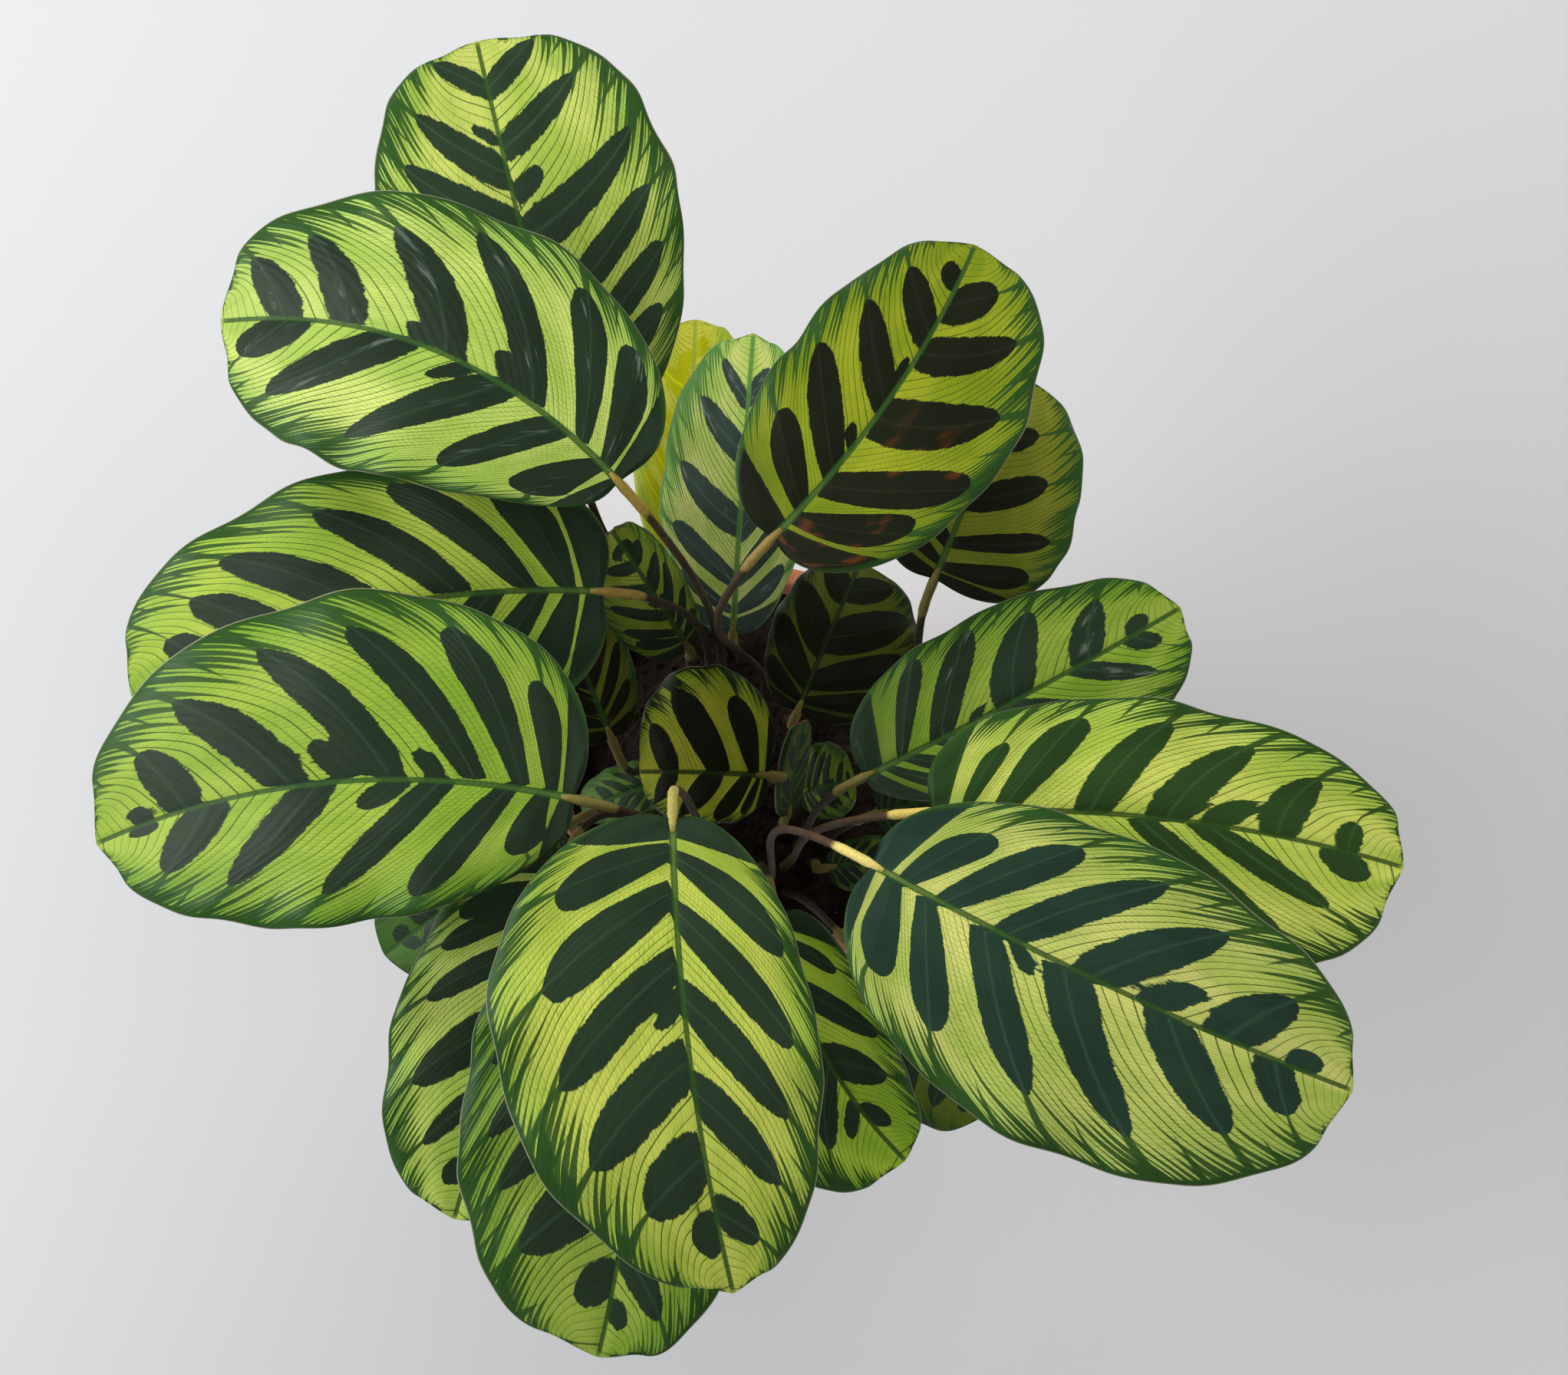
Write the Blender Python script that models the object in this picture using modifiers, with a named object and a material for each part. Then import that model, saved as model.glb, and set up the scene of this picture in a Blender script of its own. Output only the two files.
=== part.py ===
"""Potted peacock plant: a pot, its soil, and a blade and a stalk for each leaf.

Lengths are millimetres in the tables and metres in the scene. The origin is on the pot's
axis, on the surface that the pot stands on.
"""
import math
from typing import NamedTuple

import bmesh
import bpy
import numpy as np
from mathutils import Vector

MM = 0.001
PART_NAME = "potted_peacock_plant"

# Pot, a turned piece with a band at the rim
POT_HEIGHT = 140.0
POT_RIM_RADIUS = 81.0
POT_BAND_HEIGHT = 26.0
POT_BODY_TOP_RADIUS = 76.5
POT_FOOT_RADIUS = 57.0
POT_WALL = 4.5
POT_FLOOR = 7.0
POT_EDGE = 1.2
POT_SIDES = 40
DRAIN_HOLES = 4
DRAIN_HOLE_RADIUS = 5.0
DRAIN_RING_RADIUS = 30.0

# Soil, level with the lower edge of the band's inside and a little higher in the middle
SOIL_TOP = 131.0
SOIL_AT_STALKS = 128.0
SOIL_AT_WALL = 126.0
SOIL_SIDES = 32

# Blade
BLADE_THICKNESS = 0.7
MIDRIB_THICKNESS = 2.0
NECK_HALF_WIDTH = 2.3
LARGE_BLADE_STEPS = (12, 4)
SMALL_BLADE_STEPS = (9, 3)
LARGE_BLADE_HALF_WIDTH = 36
VEIN_SWEEP = 0.08
TIP_SHARE = 0.06
WAVES = 3.5
CUP = 0.14
CURL = 0.16

# Stalk, with a swollen joint below the blade
STALK_POINTS = 10
STALK_POINT_GAP = 9.0
STALK_FOOT_DEPTH = 14.0
STALK_STRAIGHT = 4.0
STALK_RADIUS = 1.45
STALK_FOOT_EXTRA = 0.9
STALK_TAPER_LENGTH = 90.0
JOINT_LENGTH = 14.0
JOINT_EXTRA_RADIUS = 0.35
JOINT_TILT = 10.0
TOUCH_GAP = 0.3
HOLE_GAP = 0.35


class Leaf(NamedTuple):
    """One leaf. Left and right are as seen looking from the base to the tip."""
    name: str
    base: tuple
    tip: tuple
    root: tuple
    left: float
    right: float
    left_widest: float = 0.5
    right_widest: float = 0.5
    left_full: float = 0.85
    right_full: float = 0.85
    lobe: float = 0.35
    bow: float = 0
    arch: float = 10
    roll: float = 0
    wave: float = 3
    phase: float = 0
    lean: float = 0.1
    swing: float = 0
    rise: float = 0.5
    reach: float = 0.28


# base, tip: ends of the midrib; root: where the stalk leaves the soil
# left, right: greatest half widths; widest: how far along they are; full: under 1 is squarer
# lobe: how far the blade reaches back beside the stalk; bow, arch: midrib's bend to its left and up
# lean, swing, rise, reach: the stalk's first slant, that slant's turn, and how stiff its two ends are
LEAVES = (
    Leaf("back", base=(-60, 99, 310), tip=(-98, 252, 278), root=(-15, 39), left=50, right=58,
         left_widest=0.55, right_widest=0.55, left_full=0.8, right_full=0.8, arch=14, phase=0.2, lean=0.5),
    Leaf("upper_left", base=(-42, 78, 355), tip=(-181, 139, 325), root=(-8, 28), left=48, right=52,
         left_widest=0.6, left_full=0.8, right_full=0.8, lobe=0.42, bow=-16, arch=16, phase=0.6),
    Leaf("left_back", base=(-49, 46, 320), tip=(-216, 13, 288), root=(-14, 19), left=52, right=50,
         left_widest=0.45, right_widest=0.45, lobe=0.45, bow=-10, arch=14),
    Leaf("left", base=(-57, -27, 345), tip=(-223, -40, 310), root=(-16, -40), left=49, right=65,
         right_widest=0.43, left_full=1.05, right_full=1.05, bow=-12, arch=15, phase=0.3),
    Leaf("front", base=(-24, -34, 350), tip=(-4, -192, 315), root=(-7, -48), left=44, right=66,
         right_widest=0.42, left_full=1.05, right_full=1.3, bow=-4, arch=16, phase=0.5, reach=0.14),
    Leaf("front_under", base=(-37, -45, 305), tip=(-52, -217, 270), root=(-19, -47), left=44, right=62,
         left_widest=0.55, right_widest=0.55, bow=7, arch=12, phase=0.8, reach=0.12),
    Leaf("front_left_low", base=(-65, -44, 265), tip=(-106, -171, 235), root=(-25, -32), left=40,
         right=42, arch=12, phase=0.1),
    Leaf("low_left", base=(-68, -29, 225), tip=(-136, -75, 205), root=(-33, -25), left=24, right=24,
         arch=8, wave=2, phase=0.4),
    Leaf("upper_right", base=(9, 60, 350), tip=(79, 166, 325), root=(6, 30), left=39, right=45,
         left_widest=0.44, left_full=0.95, right_full=0.95, bow=-7, arch=14),
    Leaf("upper_right_under", base=(66, 55, 285), tip=(98, 131, 270), root=(34, 8), left=34, right=40,
         right_widest=0.36, wave=2, phase=0.3, lean=0.6, swing=-60, rise=0.55),
    Leaf("centre_right", base=(18, 15, 216), tip=(42, 73, 202), root=(14, 19), left=22, right=34,
         arch=7, wave=2, phase=0.6, reach=0.08),
    Leaf("centre_back", base=(-6, 44, 222), tip=(2, 146, 272), root=(-4, 44), left=30, right=24,
         left_widest=0.48, right_widest=0.48, left_full=1.05, right_full=1.05, wave=2, phase=0.9,
         reach=0.1),
    Leaf("young_back", base=(-22, 65, 204), tip=(-20, 161, 226), root=(-9, 49), left=23, right=22,
         left_widest=0.55, right_widest=0.55, left_full=0.75, right_full=0.75, arch=8, wave=2,
         phase=0.2, reach=0.15),
    Leaf("inner_left", base=(-22, 36, 240), tip=(-47, 70, 300), root=(-25, 28), left=21, right=13,
         arch=5, wave=1, phase=0.4, reach=0.1),
    Leaf("centre", base=(7, -11, 240), tip=(-40, -9, 233), root=(-4, -13), left=20, right=40,
         left_full=0.8, right_full=0.8, lobe=0.5, arch=6, roll=-10, wave=2, phase=0.5, reach=0.08),
    Leaf("folded", base=(15, -22, 200), tip=(20, 9, 232), root=(10, -26), left=8, right=8,
         arch=2, roll=50, wave=0, reach=0.1),
    Leaf("small_right", base=(19, -13, 188), tip=(40, -9, 196), root=(15, -19), left=17, right=13,
         arch=3, wave=1, reach=0.08),
    Leaf("right_back", base=(41, -16, 300), tip=(153, 45, 285), root=(18, -30), left=34, right=33,
         left_widest=0.42, right_widest=0.6, left_full=1.0, right_full=1.0, bow=-2, arch=12, wave=2,
         phase=0.2, reach=0.15),
    Leaf("right", base=(63, -30, 325), tip=(229, -47, 290), root=(13, -38), left=41, right=50,
         left_widest=0.44, right_widest=0.62, left_full=0.9, right_full=0.9, bow=6, arch=14, phase=0.7),
    Leaf("front_right", base=(42, -49, 350), tip=(206, -124, 315), root=(5, -45), left=49, right=60,
         left_widest=0.47, right_widest=0.48, left_full=0.98, right_full=0.98, bow=-4, arch=16,
         phase=0.4),
    Leaf("front_right_low", base=(10, -62, 265), tip=(57, -150, 235), root=(0, -54), left=25, right=36,
         right_widest=0.65, bow=-8, wave=2, phase=0.1),
    Leaf("low_right", base=(41, -77, 225), tip=(87, -135, 200), root=(14, -48), left=28, right=26,
         arch=7, wave=2, phase=0.5),
    Leaf("low_centre", base=(30, -40, 158), tip=(60, -36, 166), root=(24, -37), left=10, right=12,
         arch=4, wave=1, phase=0.3, reach=0.1),
    Leaf("inner_right", base=(48, -23, 214), tip=(80, -15, 220), root=(28, -29), left=16, right=16,
         arch=4, wave=1, phase=0.6, reach=0.2),
    Leaf("inner_front", base=(-31, -6, 160), tip=(-66, -17, 152), root=(-28, -9), left=11, right=12,
         arch=4, wave=1, phase=0.8, reach=0.1),
    Leaf("left_shaded", base=(-50, 3, 240), tip=(-77, 70, 245), root=(-28, 11), left=25, right=19,
         arch=5, wave=1, lean=0.4),
)

POT_COLOUR = (0.42, 0.16, 0.08, 1.0)
SOIL_COLOUR = (0.035, 0.022, 0.014, 1.0)
BLADE_COLOUR = (0.10, 0.24, 0.05, 1.0)
YOUNG_BLADE_COLOUR = (0.42, 0.50, 0.08, 1.0)
STALK_COLOUR = (0.11, 0.07, 0.03, 1.0)
UP = np.array([0.0, 0.0, 1.0])


def clear_scene():
    for obj in list(bpy.data.objects):
        bpy.data.objects.remove(obj, do_unlink=True)


def new_collection(name):
    collection = bpy.data.collections.new(name)
    bpy.context.scene.collection.children.link(collection)
    return collection


def plain_material(name, colour, roughness):
    material = bpy.data.materials.new(name)
    material.use_nodes = True
    shader = material.node_tree.nodes["Principled BSDF"]
    shader.inputs["Base Color"].default_value = colour
    shader.inputs["Roughness"].default_value = roughness
    shader.inputs["Metallic"].default_value = 0.0
    material.diffuse_color = colour
    return material


def unit(vectors):
    return vectors / np.linalg.norm(vectors, axis=-1, keepdims=True)


def midrib(leaf, along):
    """Point and direction on the midrib, which runs on straight behind the base."""
    base = np.array(leaf.base, float)
    chord = np.array(leaf.tip, float) - base
    side = unit(np.cross(UP, chord))
    bend = 4 * (leaf.bow * side + leaf.arch * UP)
    a = np.asarray(along, float)[..., None]
    curved = np.maximum(a, 0.0)
    point = base + a * (chord + bend) - curved ** 2 * bend
    direction = chord + bend - 2 * curved * bend
    return point, unit(direction)


def frame(leaf, along):
    """Point, direction, left side and upper normal on the midrib, rolled about it."""
    point, forward = midrib(leaf, along)
    side = unit(np.cross(UP, forward))
    normal = np.cross(forward, side)
    roll = math.radians(leaf.roll)
    left = side * math.cos(roll) + normal * math.sin(roll)
    return point, forward, left, normal * math.cos(roll) - side * math.sin(roll)


def flat_blade(leaf, s, v):
    """Place along the midrib (0 to 1) and across it (mm) of vein s at v of its length (-1 to 1)."""
    on_left = v >= 0
    half = np.where(on_left, leaf.left, leaf.right)
    widest = np.where(on_left, leaf.left_widest, leaf.right_widest)
    full = np.where(on_left, leaf.left_full, leaf.right_full)
    length = math.dist(leaf.base, leaf.tip)
    angle = math.pi * s
    edge_along = ((1 - np.cos(angle)) / 2) ** (np.log(widest) / math.log(0.5))
    edge_along = edge_along - leaf.lobe * half / length * angle * np.exp(-angle / 0.3)
    neck = NECK_HALF_WIDTH * np.clip((1 - s) / TIP_SHARE, 0, 1) ** 0.8
    edge_across = neck + (half - NECK_HALF_WIDTH) * np.clip(np.sin(angle), 0, 1) ** full
    vein_root = 0.12 * s + 0.88 * s ** 2
    bend_along = (vein_root + edge_along) / 2 - VEIN_SWEEP * np.sin(angle)
    q = np.abs(v)
    along = (1 - q) ** 2 * vein_root + 2 * q * (1 - q) * bend_along + q ** 2 * edge_along
    across = 1.1 * q * (1 - q) * edge_across + q ** 2 * edge_across
    return along, np.where(on_left, across, -across), half


def blade_surface(leaf, s, v):
    """Points on the blade's upper face, with its fold, curled margin and waves."""
    along, across, half = flat_blade(leaf, s, v)
    point, _, left, normal = frame(leaf, along)
    out = np.abs(across) / half
    turn = WAVES * along + leaf.phase + np.where(v >= 0, 0.0, 0.37)
    fade = np.sqrt(np.sin(math.pi * np.clip(along, 0, 1)))
    lift = half * (CUP * out - CURL * out ** 2) + leaf.wave * np.sin(2 * math.pi * turn) * out ** 2.5 * fade
    return point + left * across[..., None] + normal * lift[..., None]


def blade_object(leaf, collection):
    """A sheet of triangles along the veins, thick at the midrib, closed by Solidify."""
    large = max(leaf.left, leaf.right) >= LARGE_BLADE_HALF_WIDTH
    rows, half_columns = LARGE_BLADE_STEPS if large else SMALL_BLADE_STEPS
    columns = 2 * half_columns
    s, v = np.meshgrid(np.linspace(0, 1, rows + 1), np.linspace(-1, 1, columns + 1), indexing="ij")
    points = blade_surface(leaf, s, v) * MM
    mesh = bpy.data.meshes.new("blade_" + leaf.name)
    build = bmesh.new()
    tip = build.verts.new(points[rows, half_columns])
    grid = [[build.verts.new(points[r, c]) for c in range(columns + 1)] for r in range(rows)]
    grid.append([tip] * (columns + 1))
    for r in range(rows):
        for c in range(columns):
            corners = (grid[r][c], grid[r + 1][c], grid[r + 1][c + 1], grid[r][c + 1])
            cut = 0 if c < half_columns else 1
            for picks in ((0, 1, 2), (0, 2, 3)) if cut else ((0, 1, 3), (1, 2, 3)):
                three = [corners[p] for p in picks]
                if len(set(three)) == 3:
                    build.faces.new(three)
    build.normal_update()
    build.to_mesh(mesh)
    build.free()
    blade = bpy.data.objects.new("blade_" + leaf.name, mesh)
    collection.objects.link(blade)
    rib = blade.vertex_groups.new(name="rib")
    thin = BLADE_THICKNESS / MIDRIB_THICKNESS
    rib.add(range(len(mesh.vertices)), thin, "REPLACE")
    for r in range(rows):
        index = 1 + r * (columns + 1) + half_columns
        rib.add([index], thin + (1 - thin) * (1 - r / rows), "REPLACE")
    shell = blade.modifiers.new("thickness", "SOLIDIFY")
    shell.thickness = MIDRIB_THICKNESS * MM
    shell.offset = -1
    shell.vertex_group = rib.name
    colour = YOUNG_BLADE_COLOUR if leaf.name == "young_back" else BLADE_COLOUR
    mesh.materials.append(plain_material(blade.name, colour, 0.4))
    mesh.shade_smooth()
    return blade


def stalk_line(leaf):
    """Foot, soil point and the curve from the soil to the joint, and the foot's direction."""
    base, forward, left, normal = frame(leaf, 0.0)
    tilt = math.radians(JOINT_TILT)
    arrive = forward * math.cos(tilt) + normal * math.sin(tilt)
    end_gap = TOUCH_GAP + (STALK_RADIUS + JOINT_EXTRA_RADIUS) * math.sin(tilt)
    end = base - normal * MIDRIB_THICKNESS / 2 - forward * end_gap
    root = np.array([leaf.root[0], leaf.root[1], SOIL_AT_STALKS])
    out = (base - root) * (1, 1, 0)
    spread = np.linalg.norm(out)
    swing = math.radians(leaf.swing)
    turned = np.array([out[0] * math.cos(swing) - out[1] * math.sin(swing),
                       out[0] * math.sin(swing) + out[1] * math.cos(swing), 0.0])
    slant = leaf.lean * min(1.0, spread / 30) / max(spread, 1e-6)
    upward = unit(UP + turned * slant)
    start = root + STALK_STRAIGHT * upward
    size = np.linalg.norm(end - root)
    pulls = (start, start + upward * leaf.rise * size, end - arrive * leaf.reach * size, end)
    count = int(np.clip(round(size / STALK_POINT_GAP), 4, STALK_POINTS))
    u = np.linspace(0, 1, count)[:, None]
    weights = ((1 - u) ** 3, 3 * u * (1 - u) ** 2, 3 * u ** 2 * (1 - u), u ** 3)
    curve = sum(w * p for w, p in zip(weights, pulls))
    joint_start = end - arrive * JOINT_LENGTH * 0.75
    curve[-2] = 0.5 * (curve[-2] + joint_start)
    foot = root - STALK_FOOT_DEPTH * upward
    return np.vstack([foot, root, curve]), upward


def stalk_radii(points):
    lengths = np.linalg.norm(np.diff(points, axis=0), axis=1)
    from_foot = np.concatenate([[0.0], np.cumsum(lengths)])
    to_blade = lengths.sum() - from_foot
    radii = STALK_RADIUS + STALK_FOOT_EXTRA * np.clip(1 - from_foot / STALK_TAPER_LENGTH, 0, 1) ** 1.2
    joint = STALK_RADIUS + JOINT_EXTRA_RADIUS
    return np.where(to_blade < JOINT_LENGTH, joint, radii)


def stalk_object(leaf, collection):
    """A six-sided tube along the stalk's line."""
    points, _ = stalk_line(leaf)
    curve = bpy.data.curves.new("stalk_" + leaf.name, "CURVE")
    curve.dimensions = "3D"
    curve.bevel_depth = MM
    curve.bevel_resolution = 1
    curve.use_fill_caps = True
    spline = curve.splines.new("POLY")
    spline.points.add(len(points) - 1)
    for point, place, radius in zip(spline.points, points, stalk_radii(points)):
        point.co = (*(place * MM), 1.0)
        point.radius = radius
    stalk = bpy.data.objects.new("stalk_" + leaf.name, curve)
    collection.objects.link(stalk)
    curve.materials.append(plain_material(stalk.name, STALK_COLOUR, 0.5))
    return stalk


def turned_object(name, profile, sides, collection):
    """A closed body turned from a profile in mm that starts and ends on the axis."""
    mesh = bpy.data.meshes.new(name)
    points = [(x * MM, 0.0, z * MM) for x, z in profile]
    mesh.from_pydata(points, [(i, i + 1) for i in range(len(points) - 1)], [])
    body = bpy.data.objects.new(name, mesh)
    collection.objects.link(body)
    screw = body.modifiers.new("turn", "SCREW")
    screw.steps = sides
    screw.render_steps = sides
    screw.use_merge_vertices = True
    screw.merge_threshold = 0.00001
    return body


def cut(body, cutters):
    boolean = body.modifiers.new("holes", "BOOLEAN")
    boolean.operation = "DIFFERENCE"
    boolean.operand_type = "COLLECTION"
    boolean.collection = cutters


def hole_cutter(name, start, direction, length, radius, collection):
    bpy.ops.mesh.primitive_cylinder_add(vertices=8, radius=radius * MM, depth=length * MM)
    cutter = bpy.context.object
    cutter.name = name
    middle = (np.array(start) + np.array(direction) * length / 2) * MM
    cutter.location = Vector(middle)
    cutter.rotation_mode = "QUATERNION"
    cutter.rotation_quaternion = Vector((0, 0, 1)).rotation_difference(Vector(direction))
    cutter.hide_render = True
    cutter.display_type = "WIRE"
    for owner in list(cutter.users_collection):
        owner.objects.unlink(cutter)
    collection.objects.link(cutter)
    return cutter


def make_pot(collection, cutters):
    """Terracotta pot with a plain band, a flat foot and drain holes round its middle."""
    inner_top = POT_RIM_RADIUS - POT_WALL - 2.0
    inner_foot = POT_FOOT_RADIUS - POT_WALL
    band_foot = POT_HEIGHT - POT_BAND_HEIGHT
    profile = (
        (0.0, POT_FLOOR),
        (inner_foot - POT_EDGE, POT_FLOOR),
        (inner_foot, POT_FLOOR + POT_EDGE),
        (inner_top, POT_HEIGHT - POT_EDGE),
        (inner_top + POT_EDGE, POT_HEIGHT),
        (POT_RIM_RADIUS - POT_EDGE, POT_HEIGHT),
        (POT_RIM_RADIUS, POT_HEIGHT - POT_EDGE),
        (POT_RIM_RADIUS - 1.5, band_foot + POT_EDGE),
        (POT_RIM_RADIUS - 1.5 - POT_EDGE, band_foot),
        (POT_BODY_TOP_RADIUS - 1.5, band_foot),
        (POT_FOOT_RADIUS, POT_EDGE),
        (POT_FOOT_RADIUS - POT_EDGE, 0.0),
        (0.0, 0.0),
    )
    pot = turned_object("pot", profile, POT_SIDES, collection)
    for i in range(DRAIN_HOLES):
        turn = 2 * math.pi * (i + 0.5) / DRAIN_HOLES
        start = (DRAIN_RING_RADIUS * math.cos(turn), DRAIN_RING_RADIUS * math.sin(turn), -2.0)
        hole_cutter(f"drain_{i}", start, (0, 0, 1), POT_FLOOR + 4.0, DRAIN_HOLE_RADIUS, cutters)
    cut(pot, cutters)
    pot.data.materials.append(plain_material("pot", POT_COLOUR, 0.85))
    return pot


def pot_inner_radius(height):
    inner_top = POT_RIM_RADIUS - POT_WALL - 2.0
    inner_foot = POT_FOOT_RADIUS - POT_WALL
    share = (height - POT_FLOOR - POT_EDGE) / (POT_HEIGHT - POT_FLOOR - 2 * POT_EDGE)
    return inner_foot + (inner_top - inner_foot) * share


def make_soil(collection, cutters):
    """Soil that fills the pot, with a plain hole for each stalk."""
    seat = TOUCH_GAP + 0.1
    foot = POT_FLOOR + TOUCH_GAP
    shoulder = foot + 2 * POT_EDGE
    profile = (
        (0.0, SOIL_TOP),
        (28.0, SOIL_TOP - 1.0),
        (52.0, SOIL_AT_STALKS),
        (pot_inner_radius(SOIL_AT_WALL) - seat, SOIL_AT_WALL),
        (pot_inner_radius(shoulder) - seat, shoulder),
        (pot_inner_radius(shoulder) - seat - 2 * POT_EDGE, foot),
        (0.0, foot),
    )
    soil = turned_object("soil", profile, SOIL_SIDES, collection)
    for leaf in LEAVES:
        points, upward = stalk_line(leaf)
        radius = (stalk_radii(points)[0] + HOLE_GAP) / math.cos(math.pi / 8)
        start = points[0] - upward * TOUCH_GAP
        length = STALK_FOOT_DEPTH + 12.0
        hole_cutter("hole_" + leaf.name, start, upward, length, radius, cutters)
    cut(soil, cutters)
    soil.data.materials.append(plain_material("soil", SOIL_COLOUR, 0.95))
    return soil


def main():
    clear_scene()
    parts = new_collection(PART_NAME)
    pot = make_pot(parts, new_collection("pot_cutters"))
    soil = make_soil(parts, new_collection("soil_cutters"))
    plant = bpy.data.objects.new("plant", None)
    parts.objects.link(plant)
    for piece in (pot, soil):
        piece.parent = plant
    for leaf in LEAVES:
        stalk_object(leaf, parts).parent = plant
        blade_object(leaf, parts).parent = plant


main()
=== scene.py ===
"""Dressed potted peacock plant: fine blades with their feathered pattern, stalks, pot and soil.

Lengths are millimetres in the tables and metres in the scene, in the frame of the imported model.
The tables and shape formulas of the blades and stalks are those of the part's source.
"""
import math
from typing import NamedTuple

import bmesh
import bpy
import numpy as np
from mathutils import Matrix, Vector


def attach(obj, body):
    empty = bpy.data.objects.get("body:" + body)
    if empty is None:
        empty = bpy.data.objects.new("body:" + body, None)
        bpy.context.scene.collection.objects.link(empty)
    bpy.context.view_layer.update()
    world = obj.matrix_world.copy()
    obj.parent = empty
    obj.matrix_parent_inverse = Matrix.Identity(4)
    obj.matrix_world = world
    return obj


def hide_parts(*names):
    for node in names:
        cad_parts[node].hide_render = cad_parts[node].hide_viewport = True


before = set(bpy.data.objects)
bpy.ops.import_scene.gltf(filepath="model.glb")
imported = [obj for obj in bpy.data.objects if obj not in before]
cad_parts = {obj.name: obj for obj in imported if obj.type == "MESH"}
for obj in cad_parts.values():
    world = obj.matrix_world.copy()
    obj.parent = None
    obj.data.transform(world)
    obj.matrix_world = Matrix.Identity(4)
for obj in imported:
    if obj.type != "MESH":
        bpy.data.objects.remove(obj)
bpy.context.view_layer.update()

MM = 0.001
UP = np.array([0.0, 0.0, 1.0])

# Camera
PHOTO_WIDTH = 2044
FOCAL_PIXELS = 4502.0
CAMERA_TARGET = (0.013, 0.015, 0.300)
CAMERA_DISTANCE = 1.2
CAMERA_ELEVATION = 84.0

# Pot and soil, as in the part's source
POT_HEIGHT = 140.0
POT_RIM_RADIUS = 81.0
POT_BAND_HEIGHT = 26.0
POT_BODY_TOP_RADIUS = 76.5
POT_FOOT_RADIUS = 57.0
POT_WALL = 4.5
POT_FLOOR = 7.0
DRAIN_HOLES = 4
DRAIN_HOLE_RADIUS = 5.0
DRAIN_RING_RADIUS = 30.0
SOIL_TOP = 131.0
SOIL_AT_STALKS = 128.0
SOIL_AT_WALL = 126.0

# Blade, as in the part's source
MIDRIB_THICKNESS = 2.0
NECK_HALF_WIDTH = 2.3
TIP_SHARE = 0.06
WAVES = 3.5
CUP = 0.14
CURL = 0.16

# Finer form of the blade
LARGE_BLADE_GRID = (110, 28)
SMALL_BLADE_GRID = (66, 18)
LARGE_BLADE_HALF_WIDTH = 30
SHEET_DROP = 0.3
SHEET_THICKNESS = 0.45
PLEAT_HEIGHT = 0.8
RIM_ROLL = 1.5
RIM_START = 0.86
RIM_STEPS = (0.90, 0.935, 0.965, 0.985, 1.0)
FINE_VEINS = 80.0
VEIN_TURN = 0.12
PATCH_MIDDLE = 0.50
PATCH_AT_RIB = 0.80
PATCH_FULL = 2.4
PATCH_POINT = 0.58
PATCH_WIDER = 1.14
MAIN_REACH = 0.45
SCALLOP = 0.045
TIP_NOTCH = 0.016

# Stalk, as in the part's source
STALK_POINTS = 10
STALK_POINT_GAP = 9.0
STALK_FOOT_DEPTH = 14.0
STALK_STRAIGHT = 4.0
STALK_RADIUS = 1.45
STALK_FOOT_EXTRA = 0.9
STALK_TAPER_LENGTH = 90.0
JOINT_LENGTH = 14.0
JOINT_EXTRA_RADIUS = 0.35
JOINT_TILT = 10.0
TOUCH_GAP = 0.3
STEM_STEPS = 80
STEM_SIDES = 14
HAIRS_PER_STEM = 110
HAIR_LENGTH = 0.8


class Leaf(NamedTuple):
    """One leaf. Left and right are as seen looking from the base to the tip."""
    name: str
    base: tuple
    tip: tuple
    root: tuple
    left: float
    right: float
    left_widest: float = 0.5
    right_widest: float = 0.5
    left_full: float = 0.85
    right_full: float = 0.85
    lobe: float = 0.35
    bow: float = 0
    arch: float = 10
    roll: float = 0
    wave: float = 3
    phase: float = 0
    lean: float = 0.1
    swing: float = 0
    rise: float = 0.5
    reach: float = 0.28


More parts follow.
